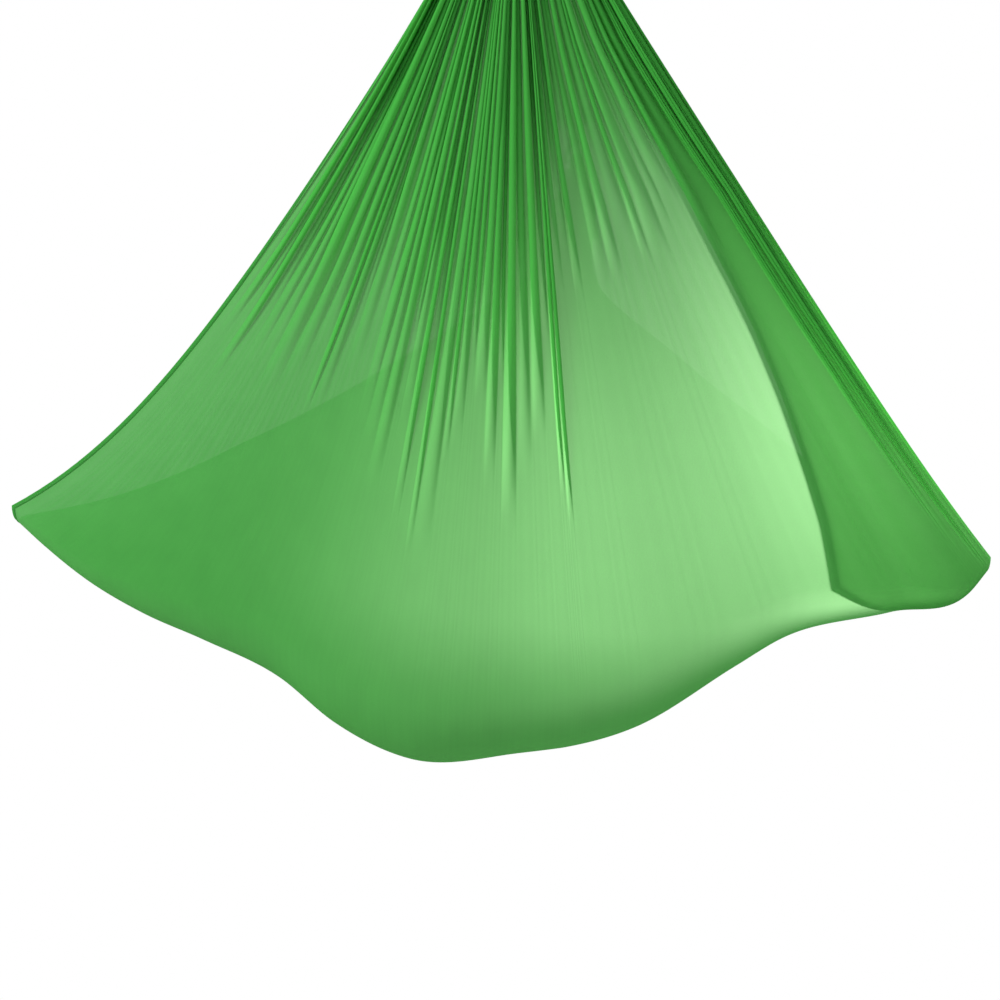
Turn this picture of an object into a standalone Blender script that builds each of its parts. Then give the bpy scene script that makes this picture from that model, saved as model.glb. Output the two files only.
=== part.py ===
"""An aerial hammock: one wide sheet of nylon tricot, knotted at each end round a screw-gate carabiner that hangs
from a swing hanger on the ceiling. The sheet is drawn as it hangs when it is loaded and spread across its width.

The origin is on the ceiling, midway between the two hangers. +Z is up, the front hanger is at -Y, and the sheet
spreads along X. Run it with blender --background --python part.py, or from the text editor.
"""

from math import acos, asin, atan2, cos, hypot, pi, radians, sin

import bmesh
import bpy
import numpy as np
from mathutils import Matrix, Vector

MM = 0.001

# Gaps that the whole assembly shares
SEAT_GAP = 0.3 * MM  # between two pieces that touch
OVERRUN = 1.0 * MM  # how far a cut runs past what it cuts
WELD = 0.01 * MM  # points nearer than this are one point

# The sling as it hangs
GATHER_SPAN = 1100 * MM  # between the two gathers, where the knots end
HANG_HEIGHT = 1586 * MM  # from the gathers down to the lowest point
LEFT_REACH = 1070 * MM  # from the middle to the left tip
RIGHT_REACH = 850 * MM
TIP_RISE = 487 * MM  # the left tip above the lowest point
KEEL_TURN = radians(8.9)  # the sheet's spread lies this far round from the X axis
BED_RADIUS = 125 * MM  # of the trough at its widest
TIP_RADIUS = 32 * MM  # of the trough at its two ends
SHEET_WALL = 2.5 * MM
SCOOP = 84 * MM  # how far a free edge is drawn in between its gather and its tip
LOAD_TILT = radians(17.5)  # each gather pulls this far from straight down

# The lowest line of the sheet, from tip to tip: its place as a share of the reach, its height as one of TIP_RISE
KEEL_SHARES = (
    (-1.00, 1.000),
    (-0.94, 0.870),
    (-0.86, 0.710),
    (-0.75, 0.570),
    (-0.64, 0.465),
    (-0.50, 0.315),
    (-0.40, 0.140),
    (-0.265, 0.000),
    (-0.075, 0.022),
    (0.17, 0.125),
    (0.40, 0.360),
    (0.51, 0.470),
    (0.77, 0.577),
    (0.955, 0.655),
    (1.00, 0.740),
)

# The gathers and their folds
BUNCH_WIDTH = 62 * MM
FOLD_DEPTH = 26 * MM  # sets the folds' depth, which is greatest a third of the way down them
FOLD_START_SHARE = 0.01  # keeps some of that depth at the gather
FOLD_COUNT = 9
FOLD_END_SHARE = 0.5  # of the way down, where the folds run out
FOLD_RISE_SHARE = 0.14  # how much further they run in the middle
TURN_BACK_SHARE = 0.73  # where the edge that is folded back behind the front wing ends
TURN_FOOT_SHARE = 0.605  # and where it ends at the trough
TURN_WIDENS_SHARE = 0.6  # of the way down, where it starts to widen
TURN_BACK_STAND = 9 * MM  # how far that edge stands behind the wing

# The back wing's edges curve in towards its gather: how far out each is, as a share, at each share of the way down
BACK_EDGE_DOWN_SHARES = (0.0, 0.12, 0.2, 0.3, 0.4, 0.5, 0.64, 0.82, 1.0)
BACK_LEFT_SHARES = (1.0, 0.50, 0.40, 0.55, 0.71, 0.81, 0.89, 0.95, 1.0)
BACK_RIGHT_SHARES = (1.0, 0.45, 0.24, 0.33, 0.50, 0.65, 0.80, 0.93, 1.0)

# Carabiner
BAR = 12 * MM
TOP_BOW = 18 * MM  # centreline radii of the two bows
WIDE_BOW = 32 * MM
CARABINER_REACH = 108 * MM  # between the crests of the two centrelines
GATE_BAR = 10.4 * MM
HINGE_DROP = 7 * MM  # the hinge pin below the end of the top bow
GATE_LENGTH = 42 * MM  # from the hinge pin to the gate's end
GATE_END_GAP = 0.6 * MM
GATE_OPENING = radians(28)
TANG = 5.0 * MM  # thickness of the hinge tang
TANG_RADIUS = 4.6 * MM
CAM_LIFT = 1.2 * MM  # how far the tang's cam pushes the plunger back
CAM_REACH_SHARE = 1.2  # of the gate's opening, so that the plunger never leaves the cam
CAM_SLOT = 7.0 * MM  # depth of the fork beyond the pin
HINGE_PIN = 3.0 * MM
NOSE = 4.4 * MM  # thickness of the nose tongue
NOSE_REACH = 6.6 * MM  # how far it enters the gate
NOSE_BACK = 3.4 * MM
NOSE_FRONT = 2.3 * MM
NOSE_SLOT = 8.0 * MM
NOSE_PIN = 2.4 * MM
NOSE_PIN_INSET = 3.4 * MM  # from the gate's end
SLEEVE_WALL = 2.1 * MM
SLEEVE_LENGTH = 17 * MM
NOSE_COVER = 5.0 * MM  # how far the locked sleeve reaches over the nose
SLEEVE_BACK = NOSE_REACH + 2 * SEAT_GAP  # the open sleeve ends this far short of the gate's end
SLEEVE_TRAVEL = SLEEVE_BACK + GATE_END_GAP + NOSE_COVER
SLEEVE_FLUTES = 12
FLUTE_DEPTH = 0.5 * MM
PLUNGER = 3.6 * MM
PLUNGER_LENGTH = 5.0 * MM
SPRING_WIRE = 0.7 * MM
SPRING_LENGTH = 15.0 * MM
SPRING_TURNS = 6

# Swing hanger
PLATE_LENGTH = 110 * MM
PLATE_WIDTH = 64 * MM
PLATE_THICK = 5 * MM
PLATE_CORNER = 9 * MM
SCREW_HOLE = 8.5 * MM
HOLE_INSET = 12 * MM
EAR_GAP = 32 * MM
EAR_THICK = 5 * MM
EAR_RADIUS = 15 * MM
EAR_FLARE = 7 * MM  # how much wider each side of an ear is at the plate
AXLE_DROP = 34 * MM  # below the ceiling
AXLE = 10 * MM
WASHER_RADIUS = 10 * MM
WASHER_THICK = 2 * MM
HEX_FLATS = 17 * MM
HEAD_HEIGHT = 6.4 * MM
NUT_HEIGHT = 8 * MM
BOLT_STANDS_OUT = 3 * MM
BUSH_WALL = 2.7 * MM
FLANGE_RADIUS = 12 * MM
FLANGE_THICK = 2 * MM
HUB_WALL = 3.7 * MM
EYE_DROP = 40 * MM  # from the axle to the eye's centre
EYE_BORE = 24 * MM
EYE_WALL = 11 * MM
EYE_NECK = 7 * MM
EYE_THICK = 10 * MM

# Knots
LOOP_HALF_WIDTH = 17.5 * MM
LOOP_HALF_DEPTH = 12 * MM
LOOP_GAP = 0.5 * MM
KNOT_LENGTH = 60 * MM
KNOT_NECK = 22 * MM  # from the wide bow's crest down to the knot
KNOT_RADIUS = 34 * MM
KNOT_WAIST = 30.5 * MM
KNOT_FLATTEN_SHARE = 0.94
KNOT_WRAPS = 3
TAIL_LENGTH = 150 * MM
TAIL_TOP_HALF = 19 * MM
TAIL_TOP_THICK = 4.5 * MM
TAIL_FOOT_HALF = 52 * MM
TAIL_FOOT_THICK = 8 * MM
TAIL_FLARE_SHARE = 0.7  # power of the share of its length, so that the tail widens most at its top

# How finely round shapes are drawn
BAR_POINTS = 11
TURN_STEPS = 20
PIN_STEPS = 12
SHARP_EDGE = radians(35)  # edges that turn more than this are shaded sharp
CRADLE_ROWS = 9
WING_ROW_SHARES = (0.05, 0.12, 0.2, 0.3, 0.4, 0.5, 0.64, 0.82)

Z_AXIS = Vector((0, 0, 1))
KEEL_ALONG = Vector((cos(KEEL_TURN), sin(KEEL_TURN), 0))
KEEL_BACK = Vector((-sin(KEEL_TURN), cos(KEEL_TURN), 0))
BOW_INSIDE = TOP_BOW - BAR / 2
BOW_SAG = BOW_INSIDE - (BOW_INSIDE**2 - (EYE_THICK / 2) ** 2) ** 0.5  # within the eye's thickness
EYE_REST = EYE_BORE / 2 - BAR / 2 - BOW_SAG - SEAT_GAP  # the bar's centre from the eye's centre
CARABINER_TO_GATHER = CARABINER_REACH + KNOT_NECK + KNOT_LENGTH + 2 * SEAT_GAP
HANGER_SPAN = GATHER_SPAN + 2 * (EYE_REST + CARABINER_TO_GATHER) * sin(LOAD_TILT)
GATHER_Z = -AXLE_DROP - EYE_DROP - (EYE_REST + CARABINER_TO_GATHER) * cos(LOAD_TILT)
LOWEST_Z = GATHER_Z - HANG_HEIGHT
SHEET_SHARES = np.linspace(-1, 1, 4 * FOLD_COUNT + 1)  # where the sheet's pieces have their columns of points
GATE_LEAN = asin((WIDE_BOW - TOP_BOW) / (CARABINER_REACH - TOP_BOW - WIDE_BOW))


def clear_scene():
    for obj in list(bpy.data.objects):
        bpy.data.objects.remove(obj, do_unlink=True)
    for name in ("aerial_hammock", "cutters"):
        bpy.context.scene.collection.children.link(bpy.data.collections.new(name))


def material(name, colour, roughness, metallic):
    """A Principled material. The colour is linear RGB."""
    made = bpy.data.materials.new(name)
    made.use_nodes = True
    shader = made.node_tree.nodes["Principled BSDF"]
    shader.inputs["Base Color"].default_value = (*colour, 1)
    shader.inputs["Roughness"].default_value = roughness
    shader.inputs["Metallic"].default_value = metallic
    made.diffuse_color = (*colour, 1)
    return made


def add_piece(name, mesh, frame, parent, look):
    """An object of the assembly, placed by its frame in world space."""
    piece = bpy.data.objects.new(name, mesh)
    bpy.data.collections["aerial_hammock"].objects.link(piece)
    piece.parent = parent
    piece.matrix_local = parent.matrix_world.inverted() @ frame if parent else frame
    if not mesh.materials:
        mesh.materials.append(look)
    return piece


def add_joint(name, frame, parent=None):
    """An empty on a joint's axis, which carries the pieces that move."""
    empty = bpy.data.objects.new(name, None)
    empty.empty_display_size = BAR
    bpy.data.collections["aerial_hammock"].objects.link(empty)
    empty.parent = parent
    empty.matrix_local = parent.matrix_world.inverted() @ frame if parent else frame
    bpy.context.view_layer.update()
    return empty


def combine(piece, kind, mesh, frame):
    """Joins a shape to the piece, or cuts it out, with a Boolean modifier."""
    tool = bpy.data.objects.new(f"{piece.name}_{kind.lower()}", mesh)
    bpy.data.collections["cutters"].objects.link(tool)
    tool.matrix_world = frame
    tool.hide_render = True
    tool.display_type = "WIRE"
    boolean = piece.modifiers.new(kind.lower(), "BOOLEAN")
    boolean.operation = kind
    boolean.solver = "EXACT"
    boolean.object = tool


def finished(shape, name):
    """The mesh of a bmesh, with its faces turned outwards."""
    bmesh.ops.recalc_face_normals(shape, faces=shape.faces)
    mesh = bpy.data.meshes.new(name)
    shape.to_mesh(mesh)
    shape.free()
    return mesh


def mesh_from(data, name, modifier=None):
    """The closed mesh that a curve, or a profile with a modifier, evaluates to."""
    maker = bpy.data.objects.new(name, data)
    bpy.context.scene.collection.objects.link(maker)
    if modifier:
        kind, settings = modifier
        made = maker.modifiers.new(name, kind)
        for key, value in settings.items():
            setattr(made, key, value)
    bpy.context.view_layer.update()
    evaluated = maker.evaluated_get(bpy.context.evaluated_depsgraph_get())
    shape = bmesh.new()
    shape.from_mesh(bpy.data.meshes.new_from_object(evaluated))
    bpy.data.objects.remove(maker, do_unlink=True)
    bmesh.ops.remove_doubles(shape, verts=shape.verts, dist=WELD)
    return finished(shape, name)


def flat_plate(name, outlines, thickness):
    """A plate in the XY plane, centred on it. The first outline is its edge and the others are holes."""
    curve = bpy.data.curves.new(name, "CURVE")
    curve.dimensions = "2D"
    curve.fill_mode = "BOTH"
    curve.extrude = thickness / 2
    for outline in outlines:
        spline = curve.splines.new("POLY")
        spline.points.add(len(outline) - 1)
        for point, (x, y) in zip(spline.points, outline):
            point.co = (x, y, 0, 1)
        spline.use_cyclic_u = True
    return mesh_from(curve, name)


def round_bar(name, points, radius, resolution=2):
    """A bar along the points, with closed ends."""
    curve = bpy.data.curves.new(name, "CURVE")
    curve.dimensions = "3D"
    curve.bevel_depth = radius
    curve.bevel_resolution = resolution
    curve.use_fill_caps = True
    spline = curve.splines.new("POLY")
    spline.points.add(len(points) - 1)
    for point, place in zip(spline.points, points):
        point.co = (*place, 1)
    mesh = mesh_from(curve, name)
    mesh.shade_smooth()
    return mesh


def turned(name, profile, steps=TURN_STEPS):
    """A profile of (radius, height) points turned about Z. A closed profile makes a ring."""
    ring = profile[0] == profile[-1]
    points = profile[:-1] if ring else profile
    count = len(points)
    edges = [(i, (i + 1) % count) for i in range(count if ring else count - 1)]
    mesh = bpy.data.meshes.new(name)
    mesh.from_pydata([(r, 0, z) for r, z in points], edges, [])
    settings = {
        "steps": steps,
        "render_steps": steps,
        "use_merge_vertices": True,
        "merge_threshold": WELD,
    }
    mesh = mesh_from(mesh, name, ("SCREW", settings))
    mesh.shade_smooth()
    mesh.set_sharp_from_angle(angle=SHARP_EDGE)
    return mesh


def cylinder(name, radius, low, high, steps=TURN_STEPS):
    """A cylinder about Z, from one height to another."""
    shape = bmesh.new()
    middle = Matrix.Translation((0, 0, (low + high) / 2))
    bmesh.ops.create_cone(
        shape, cap_ends=True, segments=steps, radius1=radius, radius2=radius, depth=high - low, matrix=middle
    )
    mesh = finished(shape, name)
    mesh.shade_smooth()
    mesh.set_sharp_from_angle(angle=SHARP_EDGE)
    return mesh


def box_mesh(name, size_x, size_y, low, high):
    """A box centred on Z, from one height to another."""
    shape = bmesh.new()
    middle = Matrix.Translation((0, 0, (low + high) / 2))
    bmesh.ops.create_cube(shape, size=1, matrix=middle @ Matrix.Diagonal((size_x, size_y, high - low, 1)))
    return finished(shape, name)


def loft(name, rings):
    """A closed shape through rings of points, with a flat face at each end."""
    shape = bmesh.new()
    loops = [[shape.verts.new(point) for point in ring] for ring in rings]
    for ring, following in zip(loops, loops[1:]):
        for i, vert in enumerate(ring):
            j = (i + 1) % len(ring)
            shape.faces.new((vert, ring[j], following[j], following[i]))
    shape.faces.new(loops[0])
    shape.faces.new(loops[-1])
    mesh = finished(shape, name)
    mesh.shade_smooth()
    return mesh


def arc(centre, radius, start, end, count):
    """Points on an arc in a plane, from one angle to another, ends included."""
    angles = np.linspace(start, end, count)
    return [(centre[0] + radius * cos(a), centre[1] + radius * sin(a)) for a in angles]


def circle(centre, radius, count=TURN_STEPS):
    return arc(centre, radius, 0, 2 * pi, count + 1)[:-1]


def hexagon(flats):
    return circle((0, 0), flats / 2 / cos(pi / 6), 6)


def frame_at(x=0, y=0, z=0, turn=None):
    """A frame moved by x, y and z, then turned by (angle, axis)."""
    placed = Matrix.Translation((x, y, z))
    return placed @ Matrix.Rotation(turn[0], 4, turn[1]) if turn else placed


# Frames that turn a shape made about Z, or in the XY plane, to lie along Y or in another plane
ALONG_Y = Matrix.Rotation(-pi / 2, 4, "X")
IN_XZ = Matrix.Rotation(pi / 2, 4, "X")
IN_YZ = Matrix(((0, 0, 1, 0), (1, 0, 0, 0), (0, 1, 0, 0), (0, 0, 0, 1)))


# Swing hangers


def ear_outline():
    """One ear of the bracket, with x across and y up, measured from the axle."""
    top = AXLE_DROP - PLATE_THICK / 2
    foot = arc((0, 0), EAR_RADIUS, pi, 2 * pi, 13)
    return foot + [(EAR_RADIUS + EAR_FLARE, top), (-EAR_RADIUS - EAR_FLARE, top)]


def plate_outline():
    half_x, half_y = PLATE_LENGTH / 2 - PLATE_CORNER, PLATE_WIDTH / 2 - PLATE_CORNER
    corners = ((half_x, half_y), (-half_x, half_y), (-half_x, -half_y), (half_x, -half_y))
    outline = []
    for quarter, corner in enumerate(corners):
        start = quarter * pi / 2
        outline += arc(corner, PLATE_CORNER, start, start + pi / 2, 5)
    return outline


def add_bracket(side, hanger, steel):
    """A ceiling plate with four screw holes and two ears that carry the axle."""
    hole_x, hole_y = PLATE_LENGTH / 2 - HOLE_INSET, PLATE_WIDTH / 2 - HOLE_INSET
    holes = [circle((x, y), SCREW_HOLE / 2, PIN_STEPS) for x in (-hole_x, hole_x) for y in (-hole_y, hole_y)]
    plate = flat_plate("bracket_plate", [plate_outline(), *holes], PLATE_THICK)
    bracket = add_piece(f"{side}_bracket", plate, hanger @ frame_at(z=-PLATE_THICK / 2), None, steel)
    axle_hole = circle((0, 0), AXLE / 2 + SEAT_GAP)
    ear = flat_plate("bracket_ear", [ear_outline(), axle_hole], EAR_THICK)
    for end in (-1, 1):
        middle = end * (EAR_GAP + EAR_THICK) / 2
        combine(bracket, "UNION", ear, hanger @ frame_at(y=middle, z=-AXLE_DROP) @ IN_XZ)


def add_axle(side, axle_line, zinc):
    """The axle bolt with a washer under its head and another under its lock nut."""
    washer_at = EAR_GAP / 2 + EAR_THICK + SEAT_GAP + WASHER_THICK / 2
    hex_at = washer_at + WASHER_THICK / 2 + SEAT_GAP
    bolt_end = hex_at + NUT_HEIGHT + BOLT_STANDS_OUT
    shank = cylinder("axle_shank", AXLE / 2, -bolt_end, hex_at + HEAD_HEIGHT / 2)
    bolt = add_piece(f"{side}_axle_bolt", shank, axle_line @ ALONG_Y, None, zinc)
    head = flat_plate("axle_head", [hexagon(HEX_FLATS)], HEAD_HEIGHT)
    combine(bolt, "UNION", head, axle_line @ frame_at(y=hex_at + HEAD_HEIGHT / 2) @ ALONG_Y)
    bore = circle((0, 0), AXLE / 2 + SEAT_GAP)
    nut = flat_plate("axle_nut", [hexagon(HEX_FLATS), bore], NUT_HEIGHT)
    nut_frame = axle_line @ frame_at(y=-hex_at - NUT_HEIGHT / 2) @ ALONG_Y
    add_piece(f"{side}_axle_nut", nut, nut_frame, None, zinc)
    washer = flat_plate("axle_washer", [circle((0, 0), WASHER_RADIUS), bore], WASHER_THICK)
    for name, end in (("head", 1), ("nut", -1)):
        washer_frame = axle_line @ frame_at(y=end * washer_at) @ ALONG_Y
        add_piece(f"{side}_{name}_washer", washer, washer_frame, None, zinc)


def hull_outline(small, drop, large):
    """The outline round a circle at the origin and a larger one below it."""
    lean = asin((large - small) / drop)
    top = arc((0, 0), small, lean, pi - lean, 9)
    foot = arc((0, -drop), large, pi - lean, 2 * pi + lean, 21)
    return top + foot


def add_swivel(side, axle_line, swing, steel, nylon):
    """The nylon bush on the axle, and the eye that swings on it."""
    inner = AXLE / 2 + SEAT_GAP
    outer = inner + BUSH_WALL
    half = EAR_GAP / 2 - SEAT_GAP
    step = half - FLANGE_THICK
    sleeve = [(inner, half), (FLANGE_RADIUS, half), (FLANGE_RADIUS, step), (outer, step)]
    sleeve += [(r, -z) for r, z in reversed(sleeve)]
    bush = turned("axle_bush", sleeve + sleeve[:1])
    add_piece(f"{side}_axle_bush", bush, axle_line @ ALONG_Y, swing, nylon)
    hub_half = step - SEAT_GAP
    hub_bore = outer + SEAT_GAP
    hub = cylinder("hanger_hub", hub_bore + HUB_WALL, -hub_half, hub_half)
    hanger_eye = add_piece(f"{side}_hanger_eye", hub, axle_line @ ALONG_Y, swing, steel)
    eye_hole = circle((0, -EYE_DROP), EYE_BORE / 2, 2 * TURN_STEPS)
    eye_edge = hull_outline(EYE_NECK, EYE_DROP, EYE_BORE / 2 + EYE_WALL)
    eye = flat_plate("hanger_plate", [eye_edge, eye_hole], EYE_THICK)
    combine(hanger_eye, "UNION", eye, axle_line @ IN_YZ)
    bore = cylinder("hanger_bore", hub_bore, -hub_half - OVERRUN, hub_half + OVERRUN)
    combine(hanger_eye, "DIFFERENCE", bore, axle_line @ ALONG_Y)


# Carabiners


def bow_point(centre_z, radius, angle):
    """A point of a bow's centreline in the carabiner's plane. The angle is measured from +X towards +Z."""
    return Vector((radius * cos(angle), 0, centre_z + radius * sin(angle)))


def gate_frame():
    """The gate's own frame in the carabiner's: origin on the hinge pin, Z towards the nose, X into the opening."""
    along = Vector((sin(GATE_LEAN), 0, -cos(GATE_LEAN)))
    pin = bow_point(-TOP_BOW, TOP_BOW, GATE_LEAN) + along * HINGE_DROP
    inward = Vector((0, 1, 0)).cross(along)
    turn = Matrix((inward, (0, 1, 0), along)).transposed().to_4x4()
    return Matrix.Translation(pin) @ turn


def bar_end(gate, z):
    """A point on the gate's line, in the carabiner's frame."""
    return gate @ Vector((0, 0, z))


def add_carabiner_frame(side, carabiner, swing, steel):
    """The round bar bent into a pear, with a hinge tang at one end and a hooked nose at the other."""
    gate = gate_frame()
    wide_z = WIDE_BOW - CARABINER_REACH
    heel = -TANG_RADIUS - 4 * SEAT_GAP
    nose_root = GATE_LENGTH + GATE_END_GAP
    shoulder = nose_root + NOSE_COVER + SEAT_GAP
    path = [bar_end(gate, heel)]
    top_angles = np.linspace(GATE_LEAN, pi - GATE_LEAN, BAR_POINTS)
    path += [bow_point(-TOP_BOW, TOP_BOW, a) for a in top_angles]
    wide_angles = np.linspace(pi - GATE_LEAN, 2 * pi + GATE_LEAN, 2 * BAR_POINTS)
    path += [bow_point(wide_z, WIDE_BOW, a) for a in wide_angles]
    path += [bar_end(gate, shoulder)]
    bar = round_bar("carabiner_bar", path, BAR / 2)
    frame = add_piece(f"{side}_carabiner_frame", bar, carabiner, swing, steel)
    spigot = cylinder("nose_spigot", GATE_BAR / 2, nose_root, shoulder + OVERRUN)
    combine(frame, "UNION", spigot, carabiner @ gate)
    pin_hole = circle((0, 0), HINGE_PIN / 2 + SEAT_GAP, PIN_STEPS)
    tang = flat_plate("hinge_tang", [tang_outline(heel), pin_hole], TANG)
    combine(frame, "UNION", tang, carabiner @ gate @ IN_XZ)
    tongue = flat_plate("nose_tongue", [tongue_outline(nose_root)], NOSE)
    combine(frame, "UNION", tongue, carabiner @ gate @ IN_XZ)


def tang_outline(heel):
    """The hinge tang in the gate's plane. Its end is a cam that lifts steadily as the gate opens."""
    root = heel - OVERRUN
    cam = [(TANG_RADIUS, 0)]
    for opened in np.linspace(CAM_REACH_SHARE, 0, 6) * GATE_OPENING:
        radius = TANG_RADIUS + CAM_LIFT * min(1, opened / GATE_OPENING)
        cam.append((radius * sin(opened), radius * cos(opened)))
    back = arc((0, 0), TANG_RADIUS, pi / 2, pi, 6)[1:]
    return [(-TANG_RADIUS, root), (TANG_RADIUS, root), *cam, *back]


def tongue_outline(nose_root):
    """The nose tongue in the gate's plane, with a hook that opens towards the carabiner's inside."""
    tip = nose_root - NOSE_REACH
    root = nose_root + OVERRUN
    pin_z = GATE_LENGTH - NOSE_PIN_INSET
    grip = NOSE_PIN / 2 + SEAT_GAP
    back, front = -NOSE_BACK, NOSE_FRONT
    notch = arc((0, pin_z), grip, -pi / 2, -3 * pi / 2, 8)
    outline = [(back, root), (back, tip), (front, tip), (front, pin_z - grip)]
    return outline + notch + [(front, pin_z + grip), (front, root)]


def plunger_end():
    """How far along the gate the plunger reaches, measured from the hinge pin."""
    return TANG_RADIUS + SEAT_GAP + PLUNGER_LENGTH


def add_gate(side, gate_line, hinge, steel):
    """The gate with its hinge fork, nose slot and spring bore, and the pins that ride in it."""
    half = GATE_BAR / 2
    end = arc((0, 0), half, -pi / 2, 0, 7)
    profile = [(0, GATE_LENGTH), (half, GATE_LENGTH)] + list(reversed(end))
    profile[-1] = (0, -half)
    gate = add_piece(f"{side}_gate", turned("gate_bar", profile), gate_line, hinge, steel)
    fork = box_mesh("fork_slot", 2 * GATE_BAR, TANG + 2 * SEAT_GAP, -half - OVERRUN, CAM_SLOT)
    combine(gate, "DIFFERENCE", fork, gate_line)
    slot_bottom = GATE_LENGTH - NOSE_SLOT
    nose_slot = box_mesh("nose_slot", 2 * GATE_BAR, NOSE + 2 * SEAT_GAP, slot_bottom, GATE_LENGTH + OVERRUN)
    combine(gate, "DIFFERENCE", nose_slot, gate_line)
    bore_end = plunger_end() + SPRING_LENGTH + 2 * SEAT_GAP
    bore = cylinder("spring_bore", PLUNGER / 2 + SEAT_GAP, CAM_SLOT - OVERRUN, bore_end, PIN_STEPS)
    combine(gate, "DIFFERENCE", bore, gate_line)
    pin_z = GATE_LENGTH - NOSE_PIN_INSET
    for name, z, size in (("hinge_pin", 0, HINGE_PIN), ("nose_pin", pin_z, NOSE_PIN)):
        hole = cylinder(f"{name}_hole", size / 2 + SEAT_GAP, -GATE_BAR, GATE_BAR, PIN_STEPS)
        combine(gate, "DIFFERENCE", hole, gate_line @ frame_at(z=z) @ ALONG_Y)
        reach = half - SEAT_GAP
        pin = cylinder(name, size / 2, -reach, reach, PIN_STEPS)
        add_piece(f"{side}_{name}", pin, gate_line @ frame_at(z=z) @ ALONG_Y, hinge, steel)


def add_plunger(side, gate_line, slide, steel):
    """The plunger that the tang's cam pushes back along the bore."""
    tip = TANG_RADIUS + SEAT_GAP
    nose = [(0, plunger_end()), (PLUNGER / 2, plunger_end()), (PLUNGER / 2, tip + PLUNGER / 4), (0, tip)]
    add_piece(f"{side}_gate_plunger", turned("plunger", nose, PIN_STEPS), gate_line, slide, steel)


def add_spring(side, gate_line, hinge, steel):
    """The coil spring that shuts the gate."""
    radius = PLUNGER / 2 - SPRING_WIRE / 2
    start = plunger_end() + SEAT_GAP + SPRING_WIRE / 2
    count = SPRING_TURNS * 8
    rise = (SPRING_LENGTH - SPRING_WIRE) / count
    angles = [i * pi / 4 for i in range(count + 1)]
    points = [(radius * cos(a), radius * sin(a), start + rise * i) for i, a in enumerate(angles)]
    print(f"{side} spring, least gap to itself: {(rise * 8 - SPRING_WIRE) / MM:.2f} mm")
    add_piece(f"{side}_gate_spring", round_bar("spring", points, SPRING_WIRE / 2, 1), gate_line, hinge, steel)


def add_sleeve(side, gate_line, slide, steel):
    """The fluted locking sleeve, drawn back so that the gate can open."""
    bore = GATE_BAR / 2 + SEAT_GAP
    outer = bore + SLEEVE_WALL
    edge = []
    for i in range(4 * SLEEVE_FLUTES):
        angle = i * pi / 2 / SLEEVE_FLUTES
        radius = outer - FLUTE_DEPTH * (1 - cos(SLEEVE_FLUTES * angle)) / 2
        edge.append((radius * cos(angle), radius * sin(angle)))
    sleeve = flat_plate("lock_sleeve", [edge, circle((0, 0), bore)], SLEEVE_LENGTH)
    middle = GATE_LENGTH - SLEEVE_BACK - SLEEVE_LENGTH / 2
    add_piece(f"{side}_lock_sleeve", sleeve, gate_line @ frame_at(z=middle), slide, steel)


# Knots


def add_loop(side, carabiner, swing, cloth):
    """The gathered sheet where it passes through the carabiner and over its wide bow."""
    radius = BAR / 2 + LOOP_GAP + LOOP_HALF_DEPTH
    crest = -CARABINER_REACH
    leg = crest - KNOT_NECK + SEAT_GAP
    bow = [(0, y, z) for y, z in arc((0, crest), radius, 0, pi, 13)]
    path = [(0, radius, leg), *bow, (0, -radius, leg)]
    mesh = round_bar("loop_bundle", path, LOOP_HALF_DEPTH, 3)
    mesh.transform(Matrix.Diagonal((LOOP_HALF_WIDTH / LOOP_HALF_DEPTH, 1, 1, 1)))
    add_piece(f"{side}_loop", mesh, carabiner, swing, cloth)


def add_knot(side, carabiner, swing, cloth):
    """The wraps of the knot round both legs of the loop."""
    swell = KNOT_RADIUS - KNOT_WAIST
    profile = [(0, 0)]
    for share in np.linspace(0, 1, 4 * KNOT_WRAPS + 1):
        radius = KNOT_WAIST + swell * abs(sin(pi * KNOT_WRAPS * share))
        profile.append((radius, -KNOT_LENGTH * share))
    profile.append((0, -KNOT_LENGTH))
    mesh = turned("knot_wraps", profile)
    mesh.transform(Matrix.Diagonal((1, KNOT_FLATTEN_SHARE, 1, 1)))
    top = frame_at(z=-CARABINER_REACH - KNOT_NECK)
    add_piece(f"{side}_knot", mesh, carabiner @ top, swing, cloth)


def add_tail(side, hanger, carabiner, swing, cloth):
    """The sheet's end, which hangs beside the knot."""
    inset = KNOT_WAIST * KNOT_FLATTEN_SHARE - TAIL_TOP_THICK - SEAT_GAP
    under = SEAT_GAP + TAIL_TOP_THICK * sin(LOAD_TILT)
    start = carabiner @ Vector((0, -inset, -CARABINER_REACH - KNOT_NECK - KNOT_LENGTH - under))
    rings = []
    for share in np.linspace(0, 1, 6):
        half = TAIL_TOP_HALF + (TAIL_FOOT_HALF - TAIL_TOP_HALF) * share**TAIL_FLARE_SHARE
        thick = TAIL_TOP_THICK + (TAIL_FOOT_THICK - TAIL_TOP_THICK) * share
        rings.append([Vector((half * x, thick * y, -TAIL_LENGTH * share)) for x, y in circle((0, 0), 1, 14)])
    tail_frame = Matrix.Translation(start) @ hanger.to_3x3().to_4x4()
    add_piece(f"{side}_tail", loft("tail", rings), tail_frame, swing, cloth)


# The sheet


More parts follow.
